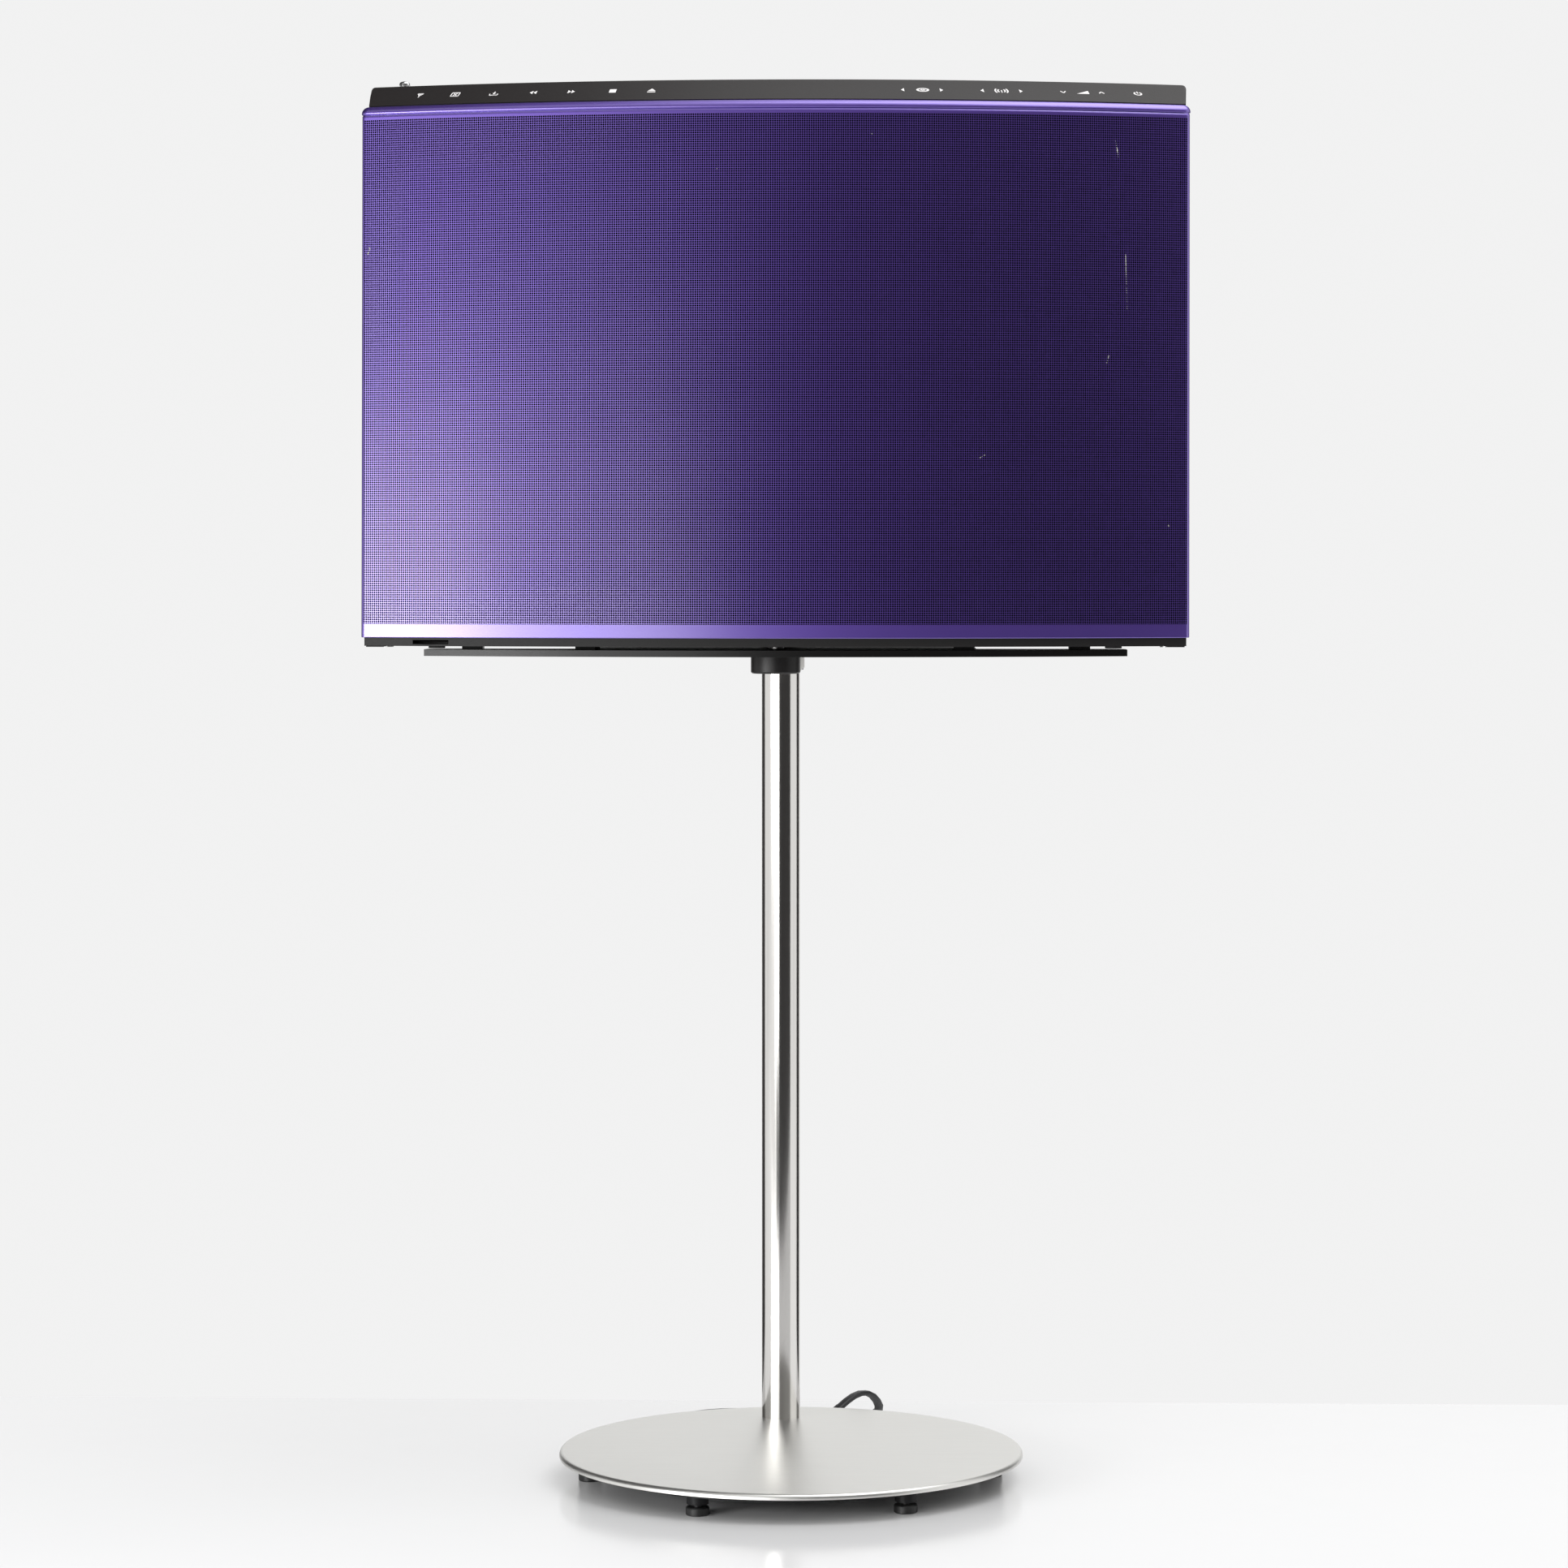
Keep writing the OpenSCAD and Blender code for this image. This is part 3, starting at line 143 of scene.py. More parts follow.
def weave(name, rows, look, body, closed=False, crease=35.0, labels=None):
    """A closed skin over rows of points (n, m, 3): face (i, j) joins points j and j + 1 of row i
    to those of row i + 1, with j counted round the row. A row of one repeated point is a pole,
    other end rows are capped, and closed joins the last row to the first. labels are three
    numbers for each point, kept as the attribute mm."""
    rows = np.asarray(rows, float)
    count, loop = rows.shape[:2]
    index = np.arange(count * loop).reshape(count, loop)
    pole = np.ptp(rows, axis=1).max(axis=1) < 1e-9
    index[pole] = index[pole, :1]
    used = np.unique(index)
    index = np.searchsorted(used, index)
    spots = rows.reshape(-1, 3)[used]
    here, there = (index, np.roll(index, -1, axis=0)) if closed else (index[:-1], index[1:])
    quads = np.stack([here, there, np.roll(there, -1, axis=1), np.roll(here, -1, axis=1)], -1).reshape(-1, 4)
    caps = [] if closed else [cap for cap, tip in ((index[0], pole[0]), (index[-1, ::-1], pole[-1])) if not tip]
    fans = np.concatenate([quads[:, :3], quads[:, [0, 2, 3]]] + [
        np.stack([np.full(loop - 2, cap[0]), cap[1:-1], cap[2:]], 1) for cap in caps])
    volume = np.einsum("ij,ij->", spots[fans[:, 0]], np.cross(spots[fans[:, 1]], spots[fans[:, 2]]))
    faces = [tuple(dict.fromkeys(quad)) for quad in quads.tolist()] + [tuple(cap.tolist()) for cap in caps]
    if volume < 0:
        faces = [face[::-1] for face in faces]
    mesh = bpy.data.meshes.new(name)
    mesh.from_pydata(spots.tolist(), [], faces)
    mesh.polygons.foreach_set("use_smooth", [True] * len(faces))
    mesh.set_sharp_from_angle(angle=math.radians(crease))
    if labels is not None:
        kept = mesh.attributes.new("mm", "FLOAT_VECTOR", "POINT")
        kept.data.foreach_set("vector", labels.reshape(-1, 3)[used].ravel())
    mesh.materials.append(look)
    made = bpy.data.objects.new(name, mesh)
    bpy.context.scene.collection.objects.link(made)
    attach(made, body)
    return made


lead_rubber = paint("lead_black", grained((0.012, 0.012, 0.014), 0.42, size=0.0008, depth=0.00001))
lead_w, lead_t = 0.0052, 0.0032
arch = [[18.6, 121.3, 6.5], [22.1, 125.9, 7.1], [25.8, 130.6, 8.8], [29.5, 135.3, 11.2],
        [33.2, 140, 14], [37.1, 144.6, 16.7], [40.9, 149.2, 18.7], [44.8, 153.8, 19.6],
        [48.6, 158.5, 19], [51.9, 163.6, 16.4], [54.3, 169, 12.6], [55.6, 174.3, 8.7],
        [55.4, 179.5, 5.3], [53.2, 184.2, 3], [49.4, 188, 1.9], [44.4, 190.3, 1.7],
        [38.9, 190.95, 1.7], [33.4, 190.5, 1.7], [28, 189, 1.7], [21.3, 186.5, 1.7],
        [13.8, 183.4, 1.7], [6, 180.2, 1.7], [-2.5, 176.7, 1.7], [-11, 173.4, 1.9],
        [-19.5, 170.6, 2.2], [-28, 168.3, 2.6]]
tail = [[-62.8, 126.5, 6.1], [-63.1, 122.7, 6.1], [-64.1, 119, 6.1], [-65.7, 115.5, 6.1],
        [-67.9, 112.4, 6.1], [-69.8, 110.4, 6.1], [-72, 108.4, 6.1]]
coil_x, coil_y, outermost, innermost, ring_gap, layer_low, layer_high = -28, 133.5, 34.8, 19.2, 5.2, 2.6, 6.1
rise_from, rise_to = 3 * 360 + 270, 3 * 360 + 315


def coil_point(degrees):
    """A point of the coil after that many degrees from its top, anticlockwise: four rings inwards
    on the table, a rise in the innermost, and three and a half rings outwards on top of them.
    Each step from ring to ring, and the rise, follows 3 s s - 2 s s s for s from 0 to 1."""
    if degrees < rise_from:
        ring, part = divmod(degrees, 360)
        step = min(max((part - 315) / 45, 0), 1) if ring < 3 else 0
        radius, height = outermost - ring_gap * (ring + (3 - 2 * step) * step * step), layer_low
    elif degrees < rise_to:
        part = (degrees - rise_from) / 45
        radius, height = innermost, layer_low + (layer_high - layer_low) * (3 - 2 * part) * part * part
    else:
        ring, part = divmod(degrees - rise_to + 45, 360)
        step = min(max((part - 315) / 45, 0), 1)
        radius, height = innermost + ring_gap * (ring + (3 - 2 * step) * step * step), layer_high
    angle = math.radians(90 + degrees)
    return [coil_x + radius * math.cos(angle), coil_y + radius * math.sin(angle), height]


coil_turns = [coil_point(d) for d in range(15, rise_to + 2 * 360 + 315 + 181, 15)]
route = np.array(arch + coil_turns + tail) / 1000


def along(points, section, sizes):
    """Rows of a flat tube along points: section holds (across, up) pairs, scaled by each size.
    Across is level and square to the path, and up is square to both."""
    ways = np.gradient(points, axis=0)
    sides = np.stack([ways[:, 1], -ways[:, 0], np.zeros(len(ways))], 1)
    sides /= np.linalg.norm(sides, axis=1)[:, None]
    ups = np.cross(sides, ways)
    ups /= np.linalg.norm(ups, axis=1)[:, None]
    flat = np.asarray(section)[None] * np.asarray(sizes)[:, None, None]
    return points[:, None] + sides[:, None] * flat[..., :1] + ups[:, None] * flat[..., 1:]


# Two round cores side by side: the sides are half circles, and a shallow groove runs between.
around = np.radians(np.arange(0, 360, 18))
apart = (lead_w - lead_t) / 2 * np.sign(np.cos(around)) * (abs(np.cos(around)) > 0.1)
groove = 1 - 0.1 * np.exp(-(np.cos(around) / 0.35) ** 2)
flat_section = np.stack([apart + lead_t / 2 * np.cos(around), lead_t / 2 * np.sin(around) * groove], 1)
lead = weave("mains_lead_tube", along(route, flat_section, np.ones(len(route))), lead_rubber, "stand")
sleeve_points = np.array([route[0] + (route[1] - route[0]) * t for t in (0, 0.35, 0.7)] + list(route[1:5]))
sleeve_sizes = np.array([1.62, 1.6, 1.5, 1.42, 1.3, 1.2, 1.1])
sleeve = weave("lead_sleeve", along(sleeve_points, flat_section, sleeve_sizes), lead_rubber, "stand")
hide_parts("mains_lead", "lead_coil")

# Plug on the lead's end, beside the coil: a flat black moulding with ribbed sides and a grooved
# grip, and two nickel-plated pins, each with a moulded sleeve over its inner half.
plug_black = paint("plug_black", grained((0.014, 0.014, 0.015), 0.36, size=0.0009, depth=0.00002))
pin_nickel = paint("pin_nickel", grained((0.72, 0.70, 0.66), 0.22, 1.0, size=0.0005, vary=0.04, depth=0.000003))
plug_x, plug_y, plug_turn = -82.3, 98.7, math.radians(43)


def plug_row(x, half_w, half_h, y=0.0, rise=5.5, power=0.45):
    """A loop across the plug, x mm along it: y + half_w cos t and rise + half_h sin t, with the
    cosine and the sine raised to power, which squares the loop up where it is under 1."""
    t = np.radians(np.arange(5, 365, 10))
    ys = y + half_w * np.sign(np.cos(t)) * abs(np.cos(t)) ** power
    zs = rise + half_h * np.sign(np.sin(t)) * abs(np.sin(t)) ** power
    c, s = math.cos(plug_turn), math.sin(plug_turn)
    return np.stack([plug_x + x * c - ys * s, plug_y + x * s + ys * c, zs], 1) / 1000


nose = ((-16, 10.6, 4.3), (-15.7, 11.3, 4.95), (-15, 11.8, 5.35), (-14, 12, 5.5), (-9, 12, 5.5))
ribs = [(x + d, 12 - max(0, x + 1) ** 2 * 0.05 - deep, 5.5) for x in (-7.5, -5, -2.5, 0, 2.5)
        for d, deep in ((0, 0), (0.35, 0.6), (0.95, 0.6), (1.3, 0))]
grip = ((5, 10.9, 5.4, 5.5), (7, 9.6, 5.1, 5.6), (8.4, 8.2, 4.8, 5.8), (9.4, 6.8, 4.5, 6.0),
        (10, 5.6, 4.3, 6.1), (10.6, 5, 4.1, 6.1), (10.9, 4.4, 3.3, 6.1), (11.6, 4.4, 3.3, 6.1),
        (11.9, 4.8, 3.9, 6.1), (12.5, 4.7, 3.8, 6.1), (12.8, 4.1, 3, 6.1), (13.4, 4.1, 3, 6.1),
        (13.7, 4.2, 3.2, 6.1), (14, 3.9, 2.9, 6.1))
body_rows = [plug_row(x, w, h) for x, w, h in (*nose, *ribs)] + [plug_row(x, w, h, rise=z) for x, w, h, z in grip]
plug = weave("plug_body", body_rows, plug_black, "stand", crease=50.0)
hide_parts("mains_plug")
for i, y in enumerate((-8.8, 8.8)):
    for name, look, slot, ends in (
            ("sleeve", plug_black, "plug_plastic", [(-15.8, 2), (-25.2, 2), (-25.4, 1.85)]),
            ("pin", pin_nickel, "steel", [(-25.3, 1.9), (-33.3, 1.9), (-34.3, 1.6), (-34.8, 1), (-34.9, 0.4)])):
        weave(f"plug_{name}_{i + 1}", [plug_row(x, r, r, y, power=1) for x, r in ends], look, "stand")
float(np.linalg.norm(np.diff(route, axis=0), axis=1).sum())


# Cable tie on the coil, the lead inside the pole, and the rubber outlet block under the disc that
# the lead leaves through. The tie is black plastic, as the cabinet's pegs, ports and sockets are.
def finish(slot, colour, rough, metal=0.0, size=0.0008):
    """Makes the finish of one material slot of the solids, and puts it on each solid that has it."""
    dull = {"Specular IOR Level": 0.3} if max(colour) < 0.04 else {}
    made = paint("cad_" + slot, grained(colour, rough, metal, size=size, **dull))
    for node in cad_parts.values():
        for i, held in enumerate(node.data.materials):
            if held.name.split(".")[0] == slot:
                node.data.materials[i] = made


def eased(node_name, body, slot, width):
    """A merged copy of a node's mesh in place of it, with a round of that width in mm on its edges."""
    shape = bmesh.new()
    shape.from_mesh(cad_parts[node_name].data)
    bmesh.ops.remove_doubles(shape, verts=shape.verts, dist=2e-6)
    bmesh.ops.dissolve_limit(shape, angle_limit=math.radians(0.4), verts=shape.verts, edges=shape.edges)
    mesh = bpy.data.meshes.new(node_name + "_eased")
    shape.to_mesh(mesh)
    shape.free()
    mesh.materials.clear()
    mesh.materials.append(bpy.data.materials["cad_" + slot])
    made = bpy.data.objects.new(node_name + "_eased", mesh)
    bpy.context.scene.collection.objects.link(made)
    easing = made.modifiers.new("easing", "BEVEL")
    easing.width, easing.segments = width / 1000, 2
    easing.limit_method, easing.angle_limit = "ANGLE", math.radians(28)
    easing.harden_normals = True
    mesh.polygons.foreach_set("use_smooth", [True] * len(mesh.polygons))
    mesh.set_sharp_from_angle(angle=math.radians(28))
    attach(made, body)
    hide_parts(node_name)


finish("black_plastic", (0.015, 0.014, 0.014), 0.38)
finish("lead_rubber", (0.012, 0.012, 0.014), 0.42)
finish("rubber", (0.012, 0.012, 0.012), 0.7, size=0.0005)
eased("cable_outlet", "stand", "rubber", 0.5)

# Stage: a white glossy table that ends just behind the base, as its rear edge shows in the
# photograph, before an even near-white background.
table = bpy.data.objects.new("table_top", bpy.data.meshes.new("table_top"))
table.data.from_pydata([(-4, -0.7, 0), (4, -0.7, 0), (4, 0.236, 0), (-4, 0.236, 0),
                        (-4, -0.7, -0.02), (4, -0.7, -0.02), (4, 0.236, -0.02), (-4, 0.236, -0.02)], [],
                       [(0, 1, 2, 3), (7, 6, 5, 4), (3, 2, 6, 7), (1, 0, 4, 5), (0, 3, 7, 4), (2, 1, 5, 6)])
table.data.materials.append(paint("table_white", grained((0.88, 0.88, 0.885), 0.16, size=0.05, vary=0.01, depth=0.0)))
bpy.context.scene.collection.objects.link(table)

# Room: the camera, and whatever mirrors it, see an even near-white background, and every other
# surface is lit by a softer white.
world = bpy.data.worlds.new("room")
bpy.context.scene.world = world
world.use_nodes = True
tree = world.node_tree
tree.nodes.clear()
path = tree.nodes.new("ShaderNodeLightPath")
mirrored = Sock(tree, path.outputs["Is Glossy Ray"]) + Sock(tree, path.outputs["Is Transmission Ray"])
seen_by = (Sock(tree, path.outputs["Is Camera Ray"]) + mirrored) > 0.5
white = seen_by.node("Background", {}, {"Color": (0.885, 0.885, 0.885, 1), "Strength": 1.0})
soft = seen_by.node("Background", {}, {"Color": (1, 1, 1, 1), "Strength": 0.72})
shown = seen_by.node("MixShader", {}, {0: seen_by, 1: soft, 2: white})
tree.links.new(shown.out, tree.nodes.new("ShaderNodeOutputWorld").inputs["Surface"])

# Lamps: a low strip and a softbox at the left front give the pale sheen on the lower left of the
# front and its violet slope, and one overhead lights the lip, the panel, the disc and the table.
for name, place, aim, size, power in (
        ("strip_left", (-1.645, -1.534, 0.53), (0, -0.05, 0.6), (1.0, 0.38), 17.5),
        ("softbox_left", (-0.92, -2.2, 0.42), (0, -0.05, 0.6), (1.1, 0.85), 10.6),
        ("softbox_top", (0.9, -0.3, 2.5), (0, 0, 0.3), (2.2, 1.8), 29.0)):
    lamp = bpy.data.lights.new(name, "AREA")
    lamp.shape, lamp.size, lamp.size_y, lamp.energy = "RECTANGLE", size[0], size[1], power
    held = bpy.data.objects.new(name, lamp)
    bpy.context.scene.collection.objects.link(held)
    held.location = place
    held.rotation_euler = (Vector(aim) - held.location).to_track_quat("-Z", "Y").to_euler()

# Dark drapes and flags: black cloth walls, curved about the pole, and one flat flag overhead. The
# pole and the front mirror them, and neither the camera nor the table's light is touched by them.
drape_black = paint("drape_black", grained((0.035, 0.033, 0.033), 0.9, size=0.05))


def hang(name, points, faces):
    """A piece of the black cloth that only mirrors see."""
    cloth = bpy.data.objects.new(name, bpy.data.meshes.new(name))
    cloth.data.from_pydata(points, [], faces)
    cloth.data.materials.append(drape_black)
    cloth.visible_camera = cloth.visible_diffuse = cloth.visible_shadow = False
    bpy.context.scene.collection.objects.link(cloth)


for name, first, last, far, low in (("dark_drape", -26, 62, 3.4, -1.2), ("drape_upper_left", -112, -26, 3.4, 1.0),
                                    ("flag_right", 113, 143, 1.7, -1.2), ("flag_left", -152, -112, 1.7, -1.2)):
    bend = np.radians(np.linspace(first, last, 12))
    hang(name, [(far * math.sin(t), -far * math.cos(t), z) for z in (low, 3.0) for t in bend],
         [(i, i + 1, i + 13, i + 12) for i in range(11)])
hang("flag_above", [(-3.0, -0.7, 2.2), (-0.35, -0.7, 2.2), (-0.1, 3.0, 2.2), (-3.0, 3.0, 2.2)], [(3, 2, 1, 0)])

# Ballast plate under the disc, of black iron, and the steel nut that clamps the pole to both. The
# cabinet's screws and the disc drive's rods are of the same bright steel.
finish("black_iron", (0.004, 0.004, 0.005), 0.45, size=0.0012)
finish("steel", (0.55, 0.55, 0.54), 0.35, 1.0, 0.0006)

# Base disc: a 3.2 mm steel plate with a rolled edge, brushed, with a hole for the pole.
# Rows run from the hole across the top, round the edge and back underneath.
base_x, pole_y = 0.097 * math.sin(math.radians(5)), 0.097 * math.cos(math.radians(5))
base_r, rim_r, disc_top, disc_under = 0.128, 0.1256, 0.0165, 0.0133
brushed = paint("brushed_steel", grained((0.82, 0.815, 0.785), 0.36, 1.0, size=0.0006, vary=0.03,
                                         depth=0.000004, stretch=(0.06, 1, 1)))
circle = np.radians(np.arange(0, 360, 2))
hole = np.stack([0.01102 * np.cos(circle), pole_y + 0.01102 * np.sin(circle)], 1)


def disc_row(radius, height, mix=1.0):
    """A ring of the disc: mix 0 is the pole's hole, and 1 is a circle about the disc's centre."""
    rim = np.stack([base_x + radius * np.cos(circle), radius * np.sin(circle)], 1)
    flat = hole * (1 - mix) + rim * mix
    return np.column_stack([flat, np.full(len(flat), height)])


roll_r = base_r - rim_r
roll = [disc_row(rim_r + roll_r * math.sin(t), disc_top - roll_r + roll_r * math.cos(t))
        for t in np.radians(np.arange(0, 91, 10))]
base = weave("base_disc_turned", [disc_row(rim_r, disc_under, 0), disc_row(rim_r, disc_top, 0)]
             + [disc_row(rim_r, disc_top, m) for m in (0.02, 0.3, 0.7)] + roll
             + [disc_row(base_r, 0.0134), disc_row(0.1279, disc_under)], brushed, "stand", closed=True)
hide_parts("base_disc")

# Pole: a polished steel tube, brushed along its length, with a bearing bush of dark plastic in
# its top, on which the arm's ring turns, and a plastic cap.
steel = paint("pole_steel", grained((0.78, 0.765, 0.74), 0.13, 1.0, size=0.0005, vary=0.03,
                                    depth=0.000002, stretch=(1, 1, 0.02)))


def turned(name, profile, centre, look, body, sides=96, closed=False):
    """A profile of (radius, height) in mm turned about the upright line through centre in metres."""
    t = np.radians(np.arange(sides) * 360 / sides)
    p = np.array(profile, float) / 1000
    rows = np.stack([centre[0] + p[:, :1] * np.cos(t), centre[1] + p[:, :1] * np.sin(t),
                     centre[2] + p[:, 1:] + 0 * t], -1)
    return weave(name, rows, look, body, closed)


pole = turned("pole_tube", [(9.5, 13.3), (11, 13.3), (11, 457), (9.5, 457)], (0, pole_y, 0), steel, "stand", 160, True)
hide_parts("pole")
finish("bearing_plastic", (0.02, 0.02, 0.02), 0.45)

# Levelling feet: six black moulded pads with an eased rim, on black screws in the ballast plate's
# bosses, evenly round a circle.
foot_black = paint("foot_black", grained((0.014, 0.014, 0.014), 0.4, size=0.0006, depth=0.00002))
foot_profile = [(0, 0), (5.9, 0), (6.35, 0.5), (6.35, 3.9), (5.8, 4.5), (2.2, 4.5), (2.2, 13.1), (0, 13.1)]
for i in range(6):
    a = math.radians(5 + 60 * i)
    foot = turned(f"foot_pad_{i + 1}", foot_profile, (base_x + 0.111 * math.cos(a), 0.111 * math.sin(a), 0),
                  foot_black, f"foot_{i + 1}", 48)
    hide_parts(f"levelling_foot_{i + 1}")

# Swivel arm: cast metal, silver painted, from its ring on the pole forward to the round black cap
# under the plate's nose. The amplifier's heat sink has the same finish.
finish("arm_metal", (0.74, 0.72, 0.68), 0.45, 0.35)
eased("swivel_arm", "head", "arm_metal", 0.7)
eased("arm_nose_cap", "head", "black_plastic", 0.5)

# Carrier plate: pressed steel, painted black, screwed to the arm under the cabinet. The frames of
# the woofers are of the same black steel.
finish("black_steel", (0.007, 0.0065, 0.0065), 0.3, size=0.0006)
eased("carrier_plate", "head", "black_steel", 0.9)

# Bottom pan and the cabinet's back, moulded in matt black plastic and screwed together, with
# rubber blocks and feet between the pan and the plate.
finish("cabinet_plastic", (0.011, 0.0105, 0.0105), 0.5, size=0.0007)
eased("rear_cabinet", "head", "cabinet_plastic", 0.9)
eased("bottom_pan", "head", "cabinet_plastic", 0.4)
eased("corner_blocks", "head", "rubber", 0.4)
eased("cabinet_feet", "head", "rubber", 0.4)

# Front sheet: one sheet of purple anodised aluminium, bowed, leaning back 3 degrees, bent back
# at its sides and rolled over along its top, pierced by a square grid of small round holes.
front_r, seam_y, grille_z, lip_z = 721.125, -8.0, 465.0, 753.6
arc_y = front_r - 62
top_arc_y = arc_y + (288.6 - 4) * math.tan(math.radians(3))
hole_pitch, hole_r = 1.22, 0.53
worn_marks = (((186.3, 267.7), (188.0, 258.8), 0.5), ((192.0, 206.6), (192.9, 177.0), 0.42),
              ((181.5, 148.2), (182.8, 152.7), 0.55), ((111.2, 96.5), (114.2, 98.2), 0.4),
              ((53.0, 270.0), (53.4, 269.6), 0.5), ((-30.0, 251.5), (-29.6, 251.2), 0.4),
              ((175.5, 251.5), (175.9, 251.0), 0.45), ((216.4, 60.9), (216.8, 60.2), 0.5),
              ((-224.2, 211.4), (-225.0, 208.2), 1.5))


def front_line(inset, bend_r):
    """Plan of the bowed front about the centre of its arc: up the left side, round the corner,
    across the front, and round the right corner back to the seam. Returns (x, y) in mm."""
    kx = 225 - bend_r
    ky = -math.sqrt((front_r - bend_r) ** 2 - kx ** 2)
    a = math.atan2(kx, -ky)
    t = np.linspace(0, a, 90)
    c = np.linspace(a, math.pi / 2, 10)[1:]
    half = np.concatenate([
        np.stack([(front_r - inset) * np.sin(t), -(front_r - inset) * np.cos(t)], 1),
        np.stack([kx + (bend_r - inset) * np.sin(c), ky - (bend_r - inset) * np.cos(c)], 1),
        np.stack([np.full(4, kx + bend_r - inset), np.linspace(ky, seam_y - arc_y, 5)[1:]], 1)])
    return np.concatenate([half[:0:-1] * [-1, 1], half])


def front_ring(inset, bend_r, height, lip=False):
    """front_line at a height, on the leaning sheet, or on the upright roll along its top."""
    line = front_line(inset, bend_r)
    y = top_arc_y + line[:, 1] if lip else (
        (arc_y + line[:, 1]) / math.cos(math.radians(3)) + (height - grille_z) * math.tan(math.radians(3)))
    return np.stack([line[:, 0], y, np.full(len(line), height)], 1) / 1000


def anodised(where):
    """Purple anodised aluminium with worn marks. The sheet's inner face is painted near black: painted shade that
    stands in for the shaded hole walls and the dark inside, with the black cloth behind them, seen through the holes.
    The sheet's own millimetres u along it and v up it carry the square grid of holes: a point is in a hole where its
    distance from the nearest crossing of the grid is under the hole's radius. It is in a mark where its distance from
    the mark's line is under the mark's width, made ragged by noise."""
    mm = where.node("Attribute", {"attribute_name": "mm"}, {}, 1)
    u, v, third = (where.node("SeparateXYZ", {}, {0: mm}, i) for i in range(3))
    inside = third > 0.5
    outside = 1.0 - inside
    cell_u = u.sum("FRACT", u / hole_pitch + 400.5) - 0.5
    cell_v = v.sum("FRACT", v / hole_pitch + 0.5) - 0.5
    away = u.sum("SQRT", cell_u * cell_u + cell_v * cell_v) * hole_pitch
    field = (v > 7.3) * (v < 281.2) * (u.sum("ABSOLUTE", u) < 227.5)
    hole_here = (away < hole_r) * field * outside
    ragged = where.node("TexNoise", {}, {"Vector": where, "Scale": 700.0, "Detail": 2.0}) - 0.22
    worn = inside * 0.0
    for (ua, va), (ub, vb), width in worn_marks:
        way = (ub - ua, vb - va, 0)
        step = where.node("VectorMath", {"operation": "SUBTRACT"}, {0: mm, 1: (ua, va, 0)})
        dot = where.node("VectorMath", {"operation": "DOT_PRODUCT"}, {0: step, 1: way}, 1)
        part = where.node("Clamp", {}, {0: dot / (way[0] ** 2 + way[1] ** 2)})
        on_line = where.node("VectorMath", {"operation": "SCALE"}, {0: way, 3: part})
        gap = where.node("VectorMath", {"operation": "DISTANCE"}, {0: step, 1: on_line}, 1)
        worn = worn.sum("MAXIMUM", worn, gap < ragged * width)
    worn = worn * outside
    cloud = where.node("TexNoise", {}, {"Vector": where, "Scale": 14.0, "Detail": 3.0})
    grain = where.node("TexNoise", {}, {"Vector": where, "Scale": 2500.0, "Detail": 2.0})

    def mixed(by, low, high):
        return where.node("Mix", {"data_type": "RGBA"}, {0: by, 6: low, 7: high}, 2)

    purple = mixed(cloud, (0.143, 0.071, 0.46, 1), (0.157, 0.079, 0.505, 1))
    # The inner face's near black is painted shade for the dark insides of the holes, with the black cloth behind them.
    return {
        "Base Color": mixed(inside, mixed(worn, purple, (0.9, 0.88, 0.9, 1)), (0.004, 0.004, 0.005, 1)),
        "Metallic": outside * (1.0 - worn),
        "Roughness": 0.48 + (grain - 0.5) * 0.1,
        "Specular IOR Level": 0.0,
        "Coat Weight": outside,
        "Coat IOR": 2.02,
        "Coat Roughness": 0.27,
        "Alpha": 1.0 - hole_here,
        "Normal": where.node("Bump", {}, {"Height": grain, "Strength": 0.4, "Distance": 0.000005}),
    }


rolled = [(4 * (1 - math.cos(t)) - 0.5, 749.6 + 4 * math.sin(t)) for t in np.radians(np.arange(0, 91, 9))]
rings = ([front_ring(0.25, 3, grille_z), front_ring(0.0, 3, 465.3)]
         + [front_ring(0.0, 3, z) for z in (465.8, 470, 540, 610, 680, 742, 747.4, 748.2)]
         + [front_ring(0.35, 3, 748.7), front_ring(0.3, 3, 749.0, True), front_ring(-0.3, 4.6, 749.25, True)]
         + [front_ring(d, 4.6, z, True) for d, z in rolled]
         + [front_ring(3.9, 4.6, 753.55, True), front_ring(3.9, 4.6, 749.6, True),
            front_ring(1.2, 3, 748.6), front_ring(1.2, 3, 600), front_ring(1.2, 3, grille_z)])
skin = np.stack(rings, 1)
run = np.concatenate([[0], np.cumsum(np.linalg.norm(np.diff(front_line(0, 3), axis=0), axis=1))])
labels = np.stack([(run - run[-1] / 2)[:, None] + 0 * skin[..., 0], skin[..., 2] * 1000 - grille_z,
                   0 * skin[..., 0] + (np.arange(len(rings)) > len(rings) - 4)], -1)
sheet = weave("purple_front", skin, paint("purple_anodised", anodised), "head", labels=labels)
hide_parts("front_grille")

# Behind the sheet: black cloth stretched over a moulded baffle, two woofers with black frames,
# paper cones and iron magnets, and two small tweeters.
finish("black_cloth", (0.006, 0.005, 0.008), 0.95, size=0.0004)
finish("baffle_plastic", (0.02, 0.02, 0.021), 0.6, size=0.001)
finish("cone_paper", (0.02, 0.02, 0.022), 0.8)
finish("magnet_iron", (0.08, 0.08, 0.085), 0.5, 0.6, 0.001)
finish("tweeter_plastic", (0.025, 0.025, 0.027), 0.4)

